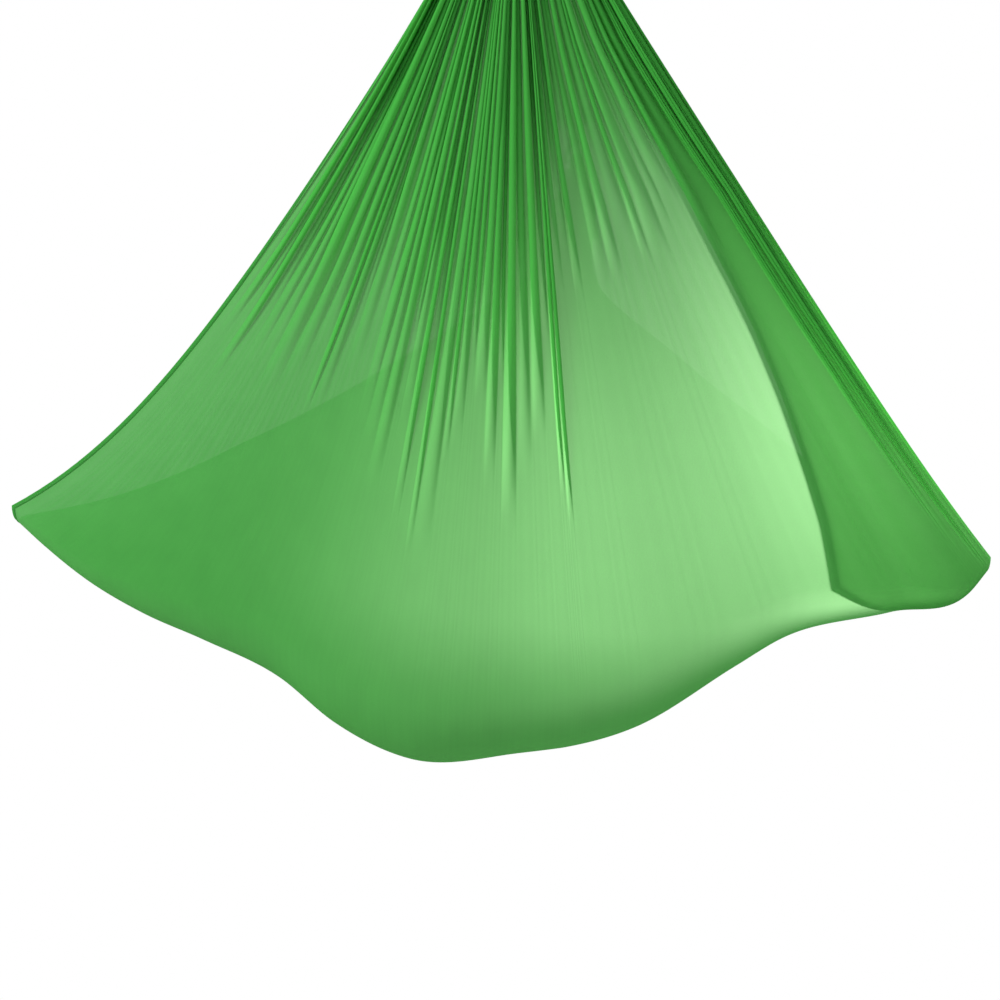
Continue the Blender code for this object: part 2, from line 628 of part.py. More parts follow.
def keel_point(share):
    """(place along the spread, height above the lowest point) of the sheet's lowest line."""
    table = np.array(KEEL_SHARES)
    places, rises = table.T
    slopes = np.gradient(rises, places)
    i = int(np.clip(np.searchsorted(places, share) - 1, 0, len(places) - 2))
    step = places[i + 1] - places[i]
    t = (share - places[i]) / step
    rise = rises[i] * (1 + 2 * t) * (1 - t) ** 2 + rises[i + 1] * t * t * (3 - 2 * t)
    rise += step * (slopes[i] * t * (1 - t) ** 2 - slopes[i + 1] * t * t * (1 - t))
    return share * (LEFT_REACH if share < 0 else RIGHT_REACH), rise * TIP_RISE


def trough(share):
    """(centre, radius) of the round trough that the sheet forms at a share of its spread."""
    along, rise = keel_point(share)
    radius = TIP_RADIUS + (BED_RADIUS - TIP_RADIUS) * (1 - share * share) ** 1.5
    return KEEL_ALONG * along + Z_AXIS * (LOWEST_Z + rise + radius), radius


def outward(way, angle):
    """The trough's outward direction at an angle from straight down, towards the front (-1) or back (1)."""
    return KEEL_BACK * (way * sin(angle)) - Z_AXIS * cos(angle)


def leaving_angle(share, way):
    """The angle at which the sheet leaves the trough and runs straight to its gather."""
    centre, radius = trough(share)
    to_gather = Vector((0, way * GATHER_SPAN / 2, GATHER_Z)) - centre
    across = way * to_gather.dot(KEEL_BACK)
    return pi - atan2(across, to_gather.z) - acos(radius / hypot(across, to_gather.z))


def edge_pull(share, way):
    """How the free edges are drawn in: a vector that is largest at the edge, halfway down."""
    edge = 1 if share > 0 else -1
    if way < 0 and edge > 0:
        return Vector((0, 0, 0))
    centre = trough(edge)[0]
    chord = (centre - Vector((0, way * GATHER_SPAN / 2, GATHER_Z))).normalized()
    inward = -KEEL_ALONG * edge
    inward -= chord * inward.dot(chord)
    return inward.normalized() * (SCOOP * abs(share) ** 3)


def drawn_in(share, down, way):
    """A share of the spread, moved in where the back wing's edges curve towards its gather."""
    if way < 0:
        return share
    edge_shares = BACK_LEFT_SHARES if share < 0 else BACK_RIGHT_SHARES
    return share * np.interp(down, BACK_EDGE_DOWN_SHARES, edge_shares)


def wing_point(column_share, down, way, depth):
    """A point of a wing at a share of its width and of its way down, set back by a depth."""
    share = drawn_in(column_share, down, way)
    centre, radius = trough(share)
    normal = outward(way, leaving_angle(share, way))
    gather = Vector((BUNCH_WIDTH / 2 * share, way * GATHER_SPAN / 2, GATHER_Z))
    foot = centre + normal * radius
    fold_end = FOLD_END_SHARE + FOLD_RISE_SHARE * (1 - share * share)
    fade = min(1, down / fold_end)
    fold = FOLD_DEPTH * (1 - fade) * (fade + FOLD_START_SHARE) ** 0.5
    fold *= cos(pi * FOLD_COUNT * (column_share + 1))
    bow = edge_pull(share, way) * (4 * down * (1 - down))
    return gather.lerp(foot, down) + bow + normal * (fold - depth)


def thick_sheet(name, outer, inner):
    """A closed sheet between two grids of points."""
    shape = bmesh.new()
    rows, columns = len(outer), len(outer[0])
    grids = [[[shape.verts.new(point) for point in row] for row in grid] for grid in (outer, inner)]
    for r in range(rows - 1):
        for c in range(columns - 1):
            for grid in grids:
                shape.faces.new((grid[r][c], grid[r][c + 1], grid[r + 1][c + 1], grid[r + 1][c]))
    rim = [(0, c) for c in range(columns)] + [(r, columns - 1) for r in range(1, rows)]
    rim += [(rows - 1, c) for c in range(columns - 2, -1, -1)] + [(r, 0) for r in range(rows - 2, 0, -1)]
    for (r, c), (s, d) in zip(rim, rim[1:] + rim[:1]):
        shape.faces.new((grids[0][r][c], grids[0][s][d], grids[1][s][d], grids[1][r][c]))
    mesh = finished(shape, name)
    mesh.shade_smooth()
    return mesh


def add_sheet_piece(name, outer, inner, swing, cloth):
    """The grids are in world space, so they are moved to the swing's own axes."""
    mesh = thick_sheet(name, outer, inner)
    mesh.transform(swing.matrix_world.inverted())
    add_piece(name, mesh, swing.matrix_world, swing, cloth)


def wing_rows():
    """Where the rows of a wing lie on the way down, from its knot to a small gap above the trough."""
    gap_share = SEAT_GAP / HANG_HEIGHT
    return np.array([3 * gap_share, *WING_ROW_SHARES, 1 - gap_share])


def turned_row(down, depth):
    """A row of the edge that lies folded back behind the front wing. It widens towards the trough."""
    columns = SHEET_SHARES[SHEET_SHARES >= TURN_BACK_SHARE]
    widening = max(0, down - TURN_WIDENS_SHARE) / (1 - TURN_WIDENS_SHARE)
    end = TURN_BACK_SHARE + (TURN_FOOT_SHARE - TURN_BACK_SHARE) * widening
    row = []
    for column in columns:
        across = (1 - column) / (1 - columns[0])
        share = column if not widening else 1 - (1 - end) * across
        stand = SHEET_WALL + 2 * SEAT_GAP + TURN_BACK_STAND * across * min(1, 3 * down)
        row.append(wing_point(share, down, -1, stand + depth))
    return row


def add_wings(swing, cloth):
    """The front and back wings, which fan out in folds from their gathers, and the folded back edge."""
    for name, way in (("front_wing", -1), ("back_wing", 1)):
        rows = wing_rows()
        outer = [[wing_point(s, t, way, 0) for s in SHEET_SHARES] for t in rows]
        inner = [[wing_point(s, t, way, SHEET_WALL) for s in SHEET_SHARES] for t in rows]
        add_sheet_piece(name, outer, inner, swing, cloth)
    outer, inner = [], []
    for down in wing_rows():
        outer.append(turned_row(down, 0))
        inner.append(turned_row(down, SHEET_WALL))
    add_sheet_piece("turned_back_edge", outer, inner, swing, cloth)


def add_cradle(swing, cloth):
    """The trough between the wings."""
    outer, inner = [], []
    for share in SHEET_SHARES:
        centre, radius = trough(share)
        start, end = -leaving_angle(share, -1), leaving_angle(share, 1)
        directions = [outward(1, a) for a in np.linspace(start, end, CRADLE_ROWS)]
        outer.append([centre + d * radius for d in directions])
        inner.append([centre + d * (radius - SHEET_WALL) for d in directions])
    add_sheet_piece("cradle", outer, inner, swing, cloth)


def main():
    clear_scene()
    steel = material("brushed_steel", (0.56, 0.57, 0.58), 0.32, 1.0)
    dark_steel = material("dark_anodised_alloy", (0.035, 0.037, 0.04), 0.38, 1.0)
    zinc = material("zinc_plated_steel", (0.62, 0.63, 0.62), 0.4, 1.0)
    nylon = material("white_nylon", (0.75, 0.74, 0.7), 0.5, 0.0)
    cloth = material("green_nylon_tricot", (0.1, 0.4, 0.09), 0.65, 0.0)
    swing = add_joint("sling_swing", frame_at(z=-AXLE_DROP))
    for side, turn in (("front", 0), ("back", pi)):
        hanger = Matrix.Rotation(turn, 4, "Z") @ frame_at(y=-HANGER_SPAN / 2)
        axle_line = hanger @ frame_at(z=-AXLE_DROP)
        add_bracket(side, hanger, steel)
        add_axle(side, axle_line, zinc)
        add_swivel(side, axle_line, swing, steel, nylon)
        eye = axle_line @ frame_at(z=-EYE_DROP)
        carabiner = eye @ Matrix.Rotation(LOAD_TILT, 4, "X") @ frame_at(z=-EYE_REST)
        gate_line = carabiner @ gate_frame()
        add_carabiner_frame(side, carabiner, swing, steel)
        gate_hinge = add_joint(f"{side}_gate_hinge", gate_line, swing)
        add_gate(side, gate_line, gate_hinge, dark_steel)
        add_spring(side, gate_line, gate_hinge, steel)
        plunger_slide = add_joint(f"{side}_plunger_slide", gate_line, gate_hinge)
        add_plunger(side, gate_line, plunger_slide, steel)
        sleeve_slide = add_joint(f"{side}_sleeve_slide", gate_line, gate_hinge)
        add_sleeve(side, gate_line, sleeve_slide, dark_steel)
        add_loop(side, carabiner, swing, cloth)
        add_knot(side, carabiner, swing, cloth)
        add_tail(side, hanger, carabiner, swing, cloth)
    add_wings(swing, cloth)
    add_cradle(swing, cloth)


main()
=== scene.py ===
"""An aerial hammock: one wide green sheet of nylon tricot, gathered and knotted at both ends. It hangs from
two ceiling swing hangers by screw-gate carabiners, and is seen from in front and from below.

The sections follow the order in which the real thing is put up: ceiling brackets, axles, swinging eyes,
carabiners, and then the sheet with its hems, loops, knots and tails. Sizes are in metres.
"""

from math import cos, pi, radians, sin

import bmesh
import bpy
import numpy as np
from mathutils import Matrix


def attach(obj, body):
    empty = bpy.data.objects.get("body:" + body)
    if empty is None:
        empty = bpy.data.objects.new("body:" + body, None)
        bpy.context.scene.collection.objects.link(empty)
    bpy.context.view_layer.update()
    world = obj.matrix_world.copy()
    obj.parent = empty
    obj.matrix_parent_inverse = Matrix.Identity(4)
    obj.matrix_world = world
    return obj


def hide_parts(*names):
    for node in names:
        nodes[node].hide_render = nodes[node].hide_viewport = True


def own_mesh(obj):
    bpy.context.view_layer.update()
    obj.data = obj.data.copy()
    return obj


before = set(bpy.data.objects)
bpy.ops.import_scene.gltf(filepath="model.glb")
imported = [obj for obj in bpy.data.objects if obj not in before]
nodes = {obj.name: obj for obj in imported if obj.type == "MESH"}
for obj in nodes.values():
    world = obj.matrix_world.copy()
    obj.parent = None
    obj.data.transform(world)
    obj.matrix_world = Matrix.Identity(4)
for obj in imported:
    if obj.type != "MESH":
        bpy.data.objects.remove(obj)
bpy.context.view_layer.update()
SIDES = ("front", "back")


# Camera
# It stands 2.5 m in front of the hammock and 0.4 m below its lowest point, and looks up 20 degrees. The two
# gathers are above the picture, as in the photograph.


def place_object(name, data):
    """A new object at the origin, linked to the scene."""
    made = bpy.data.objects.new(name, data)
    bpy.context.scene.collection.objects.link(made)
    return made


camera = place_object("camera", bpy.data.cameras.new("camera"))
camera.data.sensor_width = 36
camera.data.lens = 48.84
camera.location = (0.275, -2.509, -2.256)
camera.rotation_euler = (radians(90 + 20), 0, radians(8.91))
bpy.context.scene.camera = camera


# Studio
# A pale floor under the hammock, a white room round it, and soft lights: one high in front on the left, one
# behind on the right that shines through the cloth, and one overhead for the floor.


def hex_colour(code):
    """The linear colour of an sRGB hex code."""
    parts = [int(code[i : i + 2], 16) / 255 for i in (1, 3, 5)]
    return (*[p / 12.92 if p <= 0.04045 else ((p + 0.055) / 1.055) ** 2.4 for p in parts], 1)


def add_node(tree, kind, inputs=None, **settings):
    """Adds a node, gives it its settings, and links or sets its inputs."""
    node = tree.nodes.new(kind)
    for key, value in settings.items():
        setattr(node, key, value)
    for key, value in (inputs or {}).items():
        if isinstance(value, bpy.types.NodeSocket):
            tree.links.new(value, node.inputs[key])
        else:
            node.inputs[key].default_value = value
    return node


def new_material(name):
    """An empty material and its node tree, with the output node in place."""
    made = bpy.data.materials.new(name)
    made.use_nodes = True
    made.node_tree.nodes.clear()
    return made, made.node_tree, made.node_tree.nodes.new("ShaderNodeOutputMaterial")


def give_material(obj, material):
    obj.data.materials.clear()
    obj.data.materials.append(material)


def add_object(name, points, faces):
    """A smooth mesh object, with its place in its points."""
    mesh = bpy.data.meshes.new(name)
    mesh.from_pydata([tuple(p) for p in points], [], [tuple(f) for f in faces])
    mesh.shade_smooth()
    return place_object(name, mesh)


floor_height = -2.75
floor_half = 9.0
floor = add_object(
    "floor",
    [(x * floor_half, y * floor_half, floor_height) for x, y in ((-1, -1), (1, -1), (1, 1), (-1, 1))],
    [(0, 1, 2, 3)],
)
pale_floor, tree, output = new_material("pale_matt_floor")
surface = add_node(tree, "ShaderNodeBsdfPrincipled", {"Base Color": hex_colour("#EDECEA"), "Roughness": 0.8})
tree.links.new(surface.outputs[0], output.inputs["Surface"])
give_material(floor, pale_floor)

bpy.context.scene.view_settings.view_transform = "Standard"
world = bpy.data.worlds.new("white_room")
bpy.context.scene.world = world
world.use_nodes = True
# The camera sees the backdrop as pure white, while its light on the cloth is gentler
tree = world.node_tree
seen = add_node(tree, "ShaderNodeLightPath").outputs["Is Camera Ray"]
strength = add_node(tree, "ShaderNodeMapRange", {"Value": seen, "To Min": 0.60, "To Max": 1.0})
tree.links.new(strength.outputs[0], tree.nodes["Background"].inputs["Strength"])
tree.nodes["Background"].inputs["Color"].default_value = (1, 1, 1, 1)


def aim(lamp, target):
    """Turns a lamp towards a point."""
    x, y, z = np.array(target) - np.array(lamp.location)
    lamp.rotation_euler = (float(np.arctan2(np.hypot(x, y), -z)), 0, float(np.arctan2(-x, y)))


key_light = place_object("key_light", bpy.data.lights.new("key_light", "AREA"))
key_light.data.energy = 130
key_light.data.size = 1.2
key_light.location = (-3.0, -2.7, -0.5)
aim(key_light, (0, -0.2, -1.1))
inner_light = place_object("inner_light", bpy.data.lights.new("inner_light", "SPOT"))
inner_light.data.energy = 1750
inner_light.data.color = (1.0, 0.9, 0.94)
inner_light.data.shadow_soft_size = 0.3
inner_light.data.spot_size = radians(24)
inner_light.data.spot_blend = 1.0
inner_light.location = (2.0, 1.3, 0.5)
aim(inner_light, (0.47, -0.2, -1.42))
floor_light = place_object("floor_light", bpy.data.lights.new("floor_light", "SUN"))
floor_light.data.energy = 1.1
floor_light.data.angle = radians(40)
# The two lamps fall on the hammock only and the overhead light on the floor only, which keeps the floor even
for name, lamps, state in (
    ("all_but_the_floor", (key_light, inner_light), "EXCLUDE"),
    ("only_the_floor", (floor_light,), "INCLUDE"),
):
    receivers = bpy.data.collections.new(name)
    receivers.objects.link(floor)
    receivers.collection_objects[0].light_linking.link_state = state
    for lamp in lamps:
        lamp.light_linking.receiver_collection = receivers


# Ceiling brackets
# Laser-cut plates of stainless steel, each with two ears welded on and four screw holes. The flat faces keep
# the long fine scratches of the belt that finished them.

# Scratches 25 mm long and 0.6 mm apart draw the light out into streaks, and clouds 17 mm wide vary its grey
stainless, tree, output = new_material("belt_finished_stainless_steel")
place = add_node(tree, "ShaderNodeTexCoord").outputs["Object"]
along_belt = add_node(tree, "ShaderNodeMapping", {"Vector": place, "Scale": (40, 1600, 1600)})
belt = {"Vector": along_belt.outputs[0], "Scale": 1.0, "Detail": 3.0}
scratches = add_node(tree, "ShaderNodeTexNoise", belt).outputs["Fac"]
clouds = add_node(tree, "ShaderNodeTexNoise", {"Vector": place, "Scale": 60.0, "Detail": 4.0})
rough = add_node(tree, "ShaderNodeMapRange", {"Value": scratches, "To Min": 0.22, "To Max": 0.42})
tone = add_node(
    tree,
    "ShaderNodeMix",
    {"Factor": clouds.outputs["Fac"], "A": hex_colour("#B4B6B8"), "B": hex_colour("#CFD0D1")},
    data_type="RGBA",
)
bump = add_node(tree, "ShaderNodeBump", {"Height": scratches, "Strength": 0.12, "Distance": 0.0002})
surface = add_node(
    tree,
    "ShaderNodeBsdfPrincipled",
    {
        "Base Color": tone.outputs[2],
        "Roughness": rough.outputs[0],
        "Normal": bump.outputs[0],
        "Metallic": 1.0,
    },
)
tree.links.new(surface.outputs[0], output.inputs["Surface"])


def settle(obj, modifier):
    """Makes what a modifier gives an object its own plain mesh, and removes the modifier."""
    evaluated = obj.evaluated_get(bpy.context.evaluated_depsgraph_get())
    plain = bpy.data.meshes.new_from_object(evaluated)
    obj.modifiers.remove(modifier)
    obj.data = plain


def finish_edges(node, body, material, edge):
    """Stands a copy of a solid in for it, with its edges rounded to a radius and round faces smooth."""
    shape = bmesh.new()
    shape.from_mesh(nodes[node].data)
    bmesh.ops.remove_doubles(shape, verts=shape.verts, dist=1e-5)
    bmesh.ops.dissolve_limit(shape, angle_limit=radians(0.5), verts=shape.verts, edges=shape.edges)
    mesh = bpy.data.meshes.new(f"{node}_finished")
    shape.to_mesh(mesh)
    shape.free()
    mesh.shade_smooth()
    piece = place_object(mesh.name, mesh)
    rounded = piece.modifiers.new("rounded_edges", "BEVEL")
    rounded.width = edge
    rounded.segments = 2
    rounded.limit_method = "ANGLE"
    rounded.angle_limit = radians(40)
    rounded.harden_normals = True
    settle(piece, rounded)
    give_material(piece, material)
    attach(piece, body)
    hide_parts(node)
    return piece


for side in SIDES:
    finish_edges(f"{side}_bracket", "ceiling_fittings", stainless, 0.0008)


# Axles
# An M10 bolt through both ears, with a washer under its head, another under its lock nut, and its thread
# showing past the nut. All are steel with a bright zinc plating.

# Crystals 1.4 mm across make its gloss uneven, and stains 11 mm across give it a cool, patchy tint
zinc, tree, output = new_material("zinc_plated_steel")
place = add_node(tree, "ShaderNodeTexCoord").outputs["Object"]
crystals = add_node(tree, "ShaderNodeTexVoronoi", {"Vector": place, "Scale": 700.0}).outputs["Distance"]
stains = add_node(tree, "ShaderNodeTexNoise", {"Vector": place, "Scale": 90.0, "Detail": 5.0})
tone = add_node(
    tree,
    "ShaderNodeMix",
    {"Factor": stains.outputs["Fac"], "A": hex_colour("#A9AEB0"), "B": hex_colour("#CDCFC9")},
    data_type="RGBA",
)
rough = add_node(tree, "ShaderNodeMapRange", {"Value": crystals, "To Min": 0.3, "To Max": 0.46})
surface = add_node(
    tree,
    "ShaderNodeBsdfPrincipled",
    {"Base Color": tone.outputs[2], "Roughness": rough.outputs[0], "Metallic": 1.0},
)
tree.links.new(surface.outputs[0], output.inputs["Surface"])

HANGER_SPAN = 1.2174008
AXLE_DROP = 0.034
NUT_OUTER_FACE = 0.0316
THREAD_RADIUS = 0.005
THREAD_PITCH = 0.0015
THREAD_TURNS = 1.6
THREAD_HALF_HEIGHT = 0.00045
THREAD_CLEARANCE = 0.0003


def new_tree(name, sizes, from_shape=False):
    """A node tree with named sizes as its inputs, after a shape where it takes one, and its input node."""
    made = bpy.data.node_groups.new(name, "GeometryNodeTree")
    if from_shape:
        made.interface.new_socket("Geometry", in_out="INPUT", socket_type="NodeSocketGeometry")
    for label, value in sizes.items():
        socket = made.interface.new_socket(label, in_out="INPUT", socket_type="NodeSocketFloat")
        socket.default_value = value
    made.interface.new_socket("Geometry", in_out="OUTPUT", socket_type="NodeSocketGeometry")
    return made, add_node(made, "NodeGroupInput")


def finish_tree(tree, shape, material):
    """Ends a tree in real meshes with their material on them."""
    real = add_node(tree, "GeometryNodeRealizeInstances", {"Geometry": shape}).outputs[0]
    dressed = add_node(tree, "GeometryNodeSetMaterial", {"Geometry": real, "Material": material})
    add_node(tree, "NodeGroupOutput", {"Geometry": dressed.outputs[0]})


def grow(obj, tree):
    """Gives an object the plain mesh that a tree makes of it."""
    modifier = obj.modifiers.new(tree.name, "NODES")
    modifier.node_group = tree
    settle(obj, modifier)


thread_sizes = {"Radius": THREAD_RADIUS, "Pitch": THREAD_PITCH, "Turns": THREAD_TURNS}
thread_tree, given = new_tree("bolt_thread", thread_sizes)
rise_sizes = {0: given.outputs["Pitch"], 1: given.outputs["Turns"]}
rise = add_node(thread_tree, "ShaderNodeMath", rise_sizes, operation="MULTIPLY")
helix = add_node(
    thread_tree,
    "GeometryNodeCurveSpiral",
    {
        "Resolution": 36,
        "Rotations": given.outputs["Turns"],
        "Start Radius": given.outputs["Radius"],
        "End Radius": given.outputs["Radius"],
        "Height": rise.outputs[0],
    },
)
ridge_sizes = {"Resolution": 4, "Radius": THREAD_HALF_HEIGHT}
ridge = add_node(thread_tree, "GeometryNodeCurvePrimitiveCircle", ridge_sizes)
cut = add_node(
    thread_tree,
    "GeometryNodeCurveToMesh",
    {"Curve": helix.outputs[0], "Profile Curve": ridge.outputs[0], "Fill Caps": True},
)
finish_tree(thread_tree, cut.outputs[0], zinc)

ZINC_EDGES = {"axle_bolt": 0.0004, "axle_nut": 0.0004, "head_washer": 0.0003, "nut_washer": 0.0003}
for side in SIDES:
    for name, edge in ZINC_EDGES.items():
        finish_edges(f"{side}_{name}", "ceiling_fittings", zinc, edge)
    thread = place_object(f"{side}_bolt_thread", bpy.data.meshes.new("bolt_end"))
    grow(thread, thread_tree)
    way = 1 if side == "front" else -1
    for point in thread.data.vertices:
        x, y, z = point.co
        far_out = -HANGER_SPAN / 2 - NUT_OUTER_FACE - THREAD_CLEARANCE - z
        point.co = (way * x, way * far_out, y - AXLE_DROP)
    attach(thread, "ceiling_fittings")


# Axle bushes
# Flanged bearings moulded in white nylon, one in each eye. They turn on the bolt, and their flanges keep the
# steel of the eye off the steel of the ears.

# Light goes 2 mm into it, which softens its edges, and a grain of 1 mm keeps its surface satin
nylon, tree, output = new_material("moulded_white_nylon")
place = add_node(tree, "ShaderNodeTexCoord").outputs["Object"]
grain = add_node(tree, "ShaderNodeTexNoise", {"Vector": place, "Scale": 900.0, "Detail": 2.0}).outputs["Fac"]
bump = add_node(tree, "ShaderNodeBump", {"Height": grain, "Strength": 0.08, "Distance": 0.0001})
surface = add_node(
    tree,
    "ShaderNodeBsdfPrincipled",
    {
        "Base Color": hex_colour("#E9E6DC"),
        "Roughness": 0.42,
        "IOR": 1.53,
        "Subsurface Weight": 0.15,
        "Subsurface Scale": 0.002,
        "Normal": bump.outputs[0],
    },
)
tree.links.new(surface.outputs[0], output.inputs["Surface"])
for side in SIDES:
    finish_edges(f"{side}_axle_bush", "sling", nylon, 0.0003)


# Swinging eyes and carabiner bodies
# Forged steel, tumbled until its edges are soft and then polished. The body is one bar bent into a pear, with
# a tang for the gate's hinge at one end and a hooked nose at the other.

# Shallow waves 8 mm long bend its reflections, and specks under 1 mm break up its gloss
polished, tree, output = new_material("tumbled_polished_steel")
place = add_node(tree, "ShaderNodeTexCoord").outputs["Object"]
waves = add_node(tree, "ShaderNodeTexNoise", {"Vector": place, "Scale": 120.0, "Detail": 2.0})
specks = add_node(tree, "ShaderNodeTexNoise", {"Vector": place, "Scale": 1500.0, "Detail": 4.0})
rough = add_node(
    tree, "ShaderNodeMapRange", {"Value": specks.outputs["Fac"], "To Min": 0.14, "To Max": 0.3}
)
bump = add_node(tree, "ShaderNodeBump", {"Height": waves.outputs["Fac"], "Strength": 0.2, "Distance": 0.0006})
surface = add_node(
    tree,
    "ShaderNodeBsdfPrincipled",
    {
        "Base Color": hex_colour("#C3C5C7"),
        "Roughness": rough.outputs[0],
        "Normal": bump.outputs[0],
        "Metallic": 1.0,
    },
)
tree.links.new(surface.outputs[0], output.inputs["Surface"])

EYE_DROP = 0.040
EYE_REST = 0.0046087
LOAD_TILT = radians(17.5)
BAR = 0.012
TOP_BOW = 0.018
WIDE_BOW = 0.032
CARABINER_REACH = 0.108
HINGE_DROP = 0.007
HEEL = -0.0058
SHOULDER = 0.0479
SPIGOT_RADIUS = 0.0052
SPIGOT_FOOT = 0.0426
TANG_RADIUS = 0.0046
TANG_THICK = 0.0050
CAM_LIFT = 0.0012
CAM_ANGLE = radians(28)
PIN_HOLE = 0.0018
TONGUE_TIP = 0.0360
TONGUE_BACK = 0.0034
TONGUE_FRONT = 0.0023
TONGUE_THICK = 0.0044
HOOK_PIN = 0.0386
HOOK_GRIP = 0.0015
PLATE_EDGE = 0.0003
BAR_EDGE = 0.0004
JOIN_DEPTH = 0.001
BAR_SIDES = 32
SPRING_FAR_END = 0.0249


def to_world(side, points):
    """Points from a side's carabiner frame, whose origin is the top bow's crest, into the hammock's frame."""
    x, y, z = np.moveaxis(np.asarray(points), -1, 0)
    z = z - EYE_REST
    y, z = y * cos(LOAD_TILT) - z * sin(LOAD_TILT), y * sin(LOAD_TILT) + z * cos(LOAD_TILT)
    y, z = y - HANGER_SPAN / 2, z - AXLE_DROP - EYE_DROP
    return np.stack([x, y, z] if side == "front" else [-x, -y, z], -1)


def dot(a, b):
    """The dot product of each pair of rows."""
    return (a * b).sum(-1)


def swept_bar(path, side_way, outline):
    """(points, faces) of a closed bar along a path. Its outline has each ring's reach sideways and out."""
    along = np.gradient(path, axis=0)
    along /= np.linalg.norm(along, axis=1, keepdims=True)
    side_way = side_way - along * dot(side_way, along)[:, None]
    side_way /= np.linalg.norm(side_way, axis=1, keepdims=True)
    out_way = np.cross(along, side_way)
    rings = path[:, None] + outline[..., :1] * side_way[:, None] + outline[..., 1:] * out_way[:, None]
    ring_count, per_ring = rings.shape[:2]
    index = np.arange(ring_count * per_ring).reshape(ring_count, per_ring)
    index = np.concatenate([index, index[:, :1]], 1)
    quads = np.stack([index[:-1, 1:], index[1:, 1:], index[1:, :-1], index[:-1, :-1]], -1).reshape(-1, 4)
    start, end = ring_count * per_ring, ring_count * per_ring + 1
    faces = [tuple(q) for q in quads]
    faces += [(i, j, start) for i, j in zip(index[0, :-1], index[0, 1:])]
    faces += [(j, i, end) for i, j in zip(index[-1, :-1], index[-1, 1:])]
    return np.concatenate([rings.reshape(-1, 3), path[:1], path[-1:]]), faces


def arc(centre, radius, start, end, count):
    """Points at even angles round a centre."""
    x, y = centre
    return [(x + radius * cos(a), y + radius * sin(a)) for a in np.linspace(start, end, count)]


def edged_plate(outlines, thickness):
    """A flat plate with its edges rounded, in the plane of its outlines."""
    curve = bpy.data.curves.new("plate", "CURVE")
    curve.dimensions = "2D"
    curve.fill_mode = "BOTH"
    curve.extrude = thickness / 2 - PLATE_EDGE
    curve.bevel_depth = PLATE_EDGE
    curve.bevel_resolution = 2
    curve.offset = -PLATE_EDGE
    for outline in outlines:
        spline = curve.splines.new("POLY")
        spline.points.add(len(outline) - 1)
        for point, place in zip(spline.points, outline):
            point.co = (*place, 0, 1)
        spline.use_cyclic_u = True
    holder = bpy.data.objects.new("plate", curve)
    mesh = bpy.data.meshes.new_from_object(holder)
    bpy.data.objects.remove(holder)
    return mesh


gate_lean = float(np.arcsin((WIDE_BOW - TOP_BOW) / (CARABINER_REACH - TOP_BOW - WIDE_BOW)))
gate_along = np.array((sin(gate_lean), 0, -cos(gate_lean)))
gate_inward = np.array((-cos(gate_lean), 0, -sin(gate_lean)))
hinge = np.array((TOP_BOW * cos(gate_lean), 0, -TOP_BOW + TOP_BOW * sin(gate_lean))) + gate_along * HINGE_DROP


def round_outline(radii):
    """A round bar's outline, with one radius for each ring."""
    around = np.linspace(0, 2 * pi, BAR_SIDES, endpoint=False)
    return np.array(radii)[:, None, None] * np.stack([np.cos(around), np.sin(around)], -1)[None]


top_turn = np.linspace(gate_lean, pi - gate_lean, 41)
wide_turn = np.linspace(pi - gate_lean, 2 * pi + gate_lean, 61)
top_arc = [(TOP_BOW * cos(a), 0, -TOP_BOW + TOP_BOW * sin(a)) for a in top_turn]
wide_arc = [(WIDE_BOW * cos(a), 0, WIDE_BOW - CARABINER_REACH + WIDE_BOW * sin(a)) for a in wide_turn]
bar_path = [hinge + gate_along * (HEEL - k) for k in (0, BAR_EDGE)] + top_arc + wide_arc
bar_path = np.array(bar_path + [hinge + gate_along * (SHOULDER + k) for k in (BAR_EDGE, 0)])
bar_radii = [BAR / 2 - BAR_EDGE, *[BAR / 2] * (len(bar_path) - 2), BAR / 2 - BAR_EDGE]
spigot_path = np.array([hinge + gate_along * k for k in (SPIGOT_FOOT, SPIGOT_FOOT + BAR_EDGE, SHOULDER)])
spigot_radii = [SPIGOT_RADIUS - BAR_EDGE, SPIGOT_RADIUS, SPIGOT_RADIUS]
# The cam rises until the gate's full opening, and stays level a little past it
cam = []
for opened in np.linspace(1.2, 0, 13):
    lifted = TANG_RADIUS + CAM_LIFT * min(1, opened)
    cam.append((lifted * sin(opened * CAM_ANGLE), lifted * cos(opened * CAM_ANGLE)))
tang_foot = HEEL - JOIN_DEPTH
tang_outline = [(-TANG_RADIUS, tang_foot), (TANG_RADIUS, tang_foot), (TANG_RADIUS, 0), *cam]
tang_outline += arc((0, 0), TANG_RADIUS, pi / 2, pi, 13)[1:]
tang = edged_plate([tang_outline, arc((0, 0), PIN_HOLE, 0, 2 * pi * 23 / 24, 24)], TANG_THICK)
tongue_outline = [
    (-TONGUE_BACK, SPIGOT_FOOT + JOIN_DEPTH),
    (-TONGUE_BACK, TONGUE_TIP),
    (TONGUE_FRONT, TONGUE_TIP),
    (TONGUE_FRONT, HOOK_PIN - HOOK_GRIP),
    *arc((0, HOOK_PIN), HOOK_GRIP, -pi / 2, -3 * pi / 2, 13),
    (TONGUE_FRONT, HOOK_PIN + HOOK_GRIP),
    (TONGUE_FRONT, SPIGOT_FOOT + JOIN_DEPTH),
]
tongue = edged_plate([tongue_outline], TONGUE_THICK)

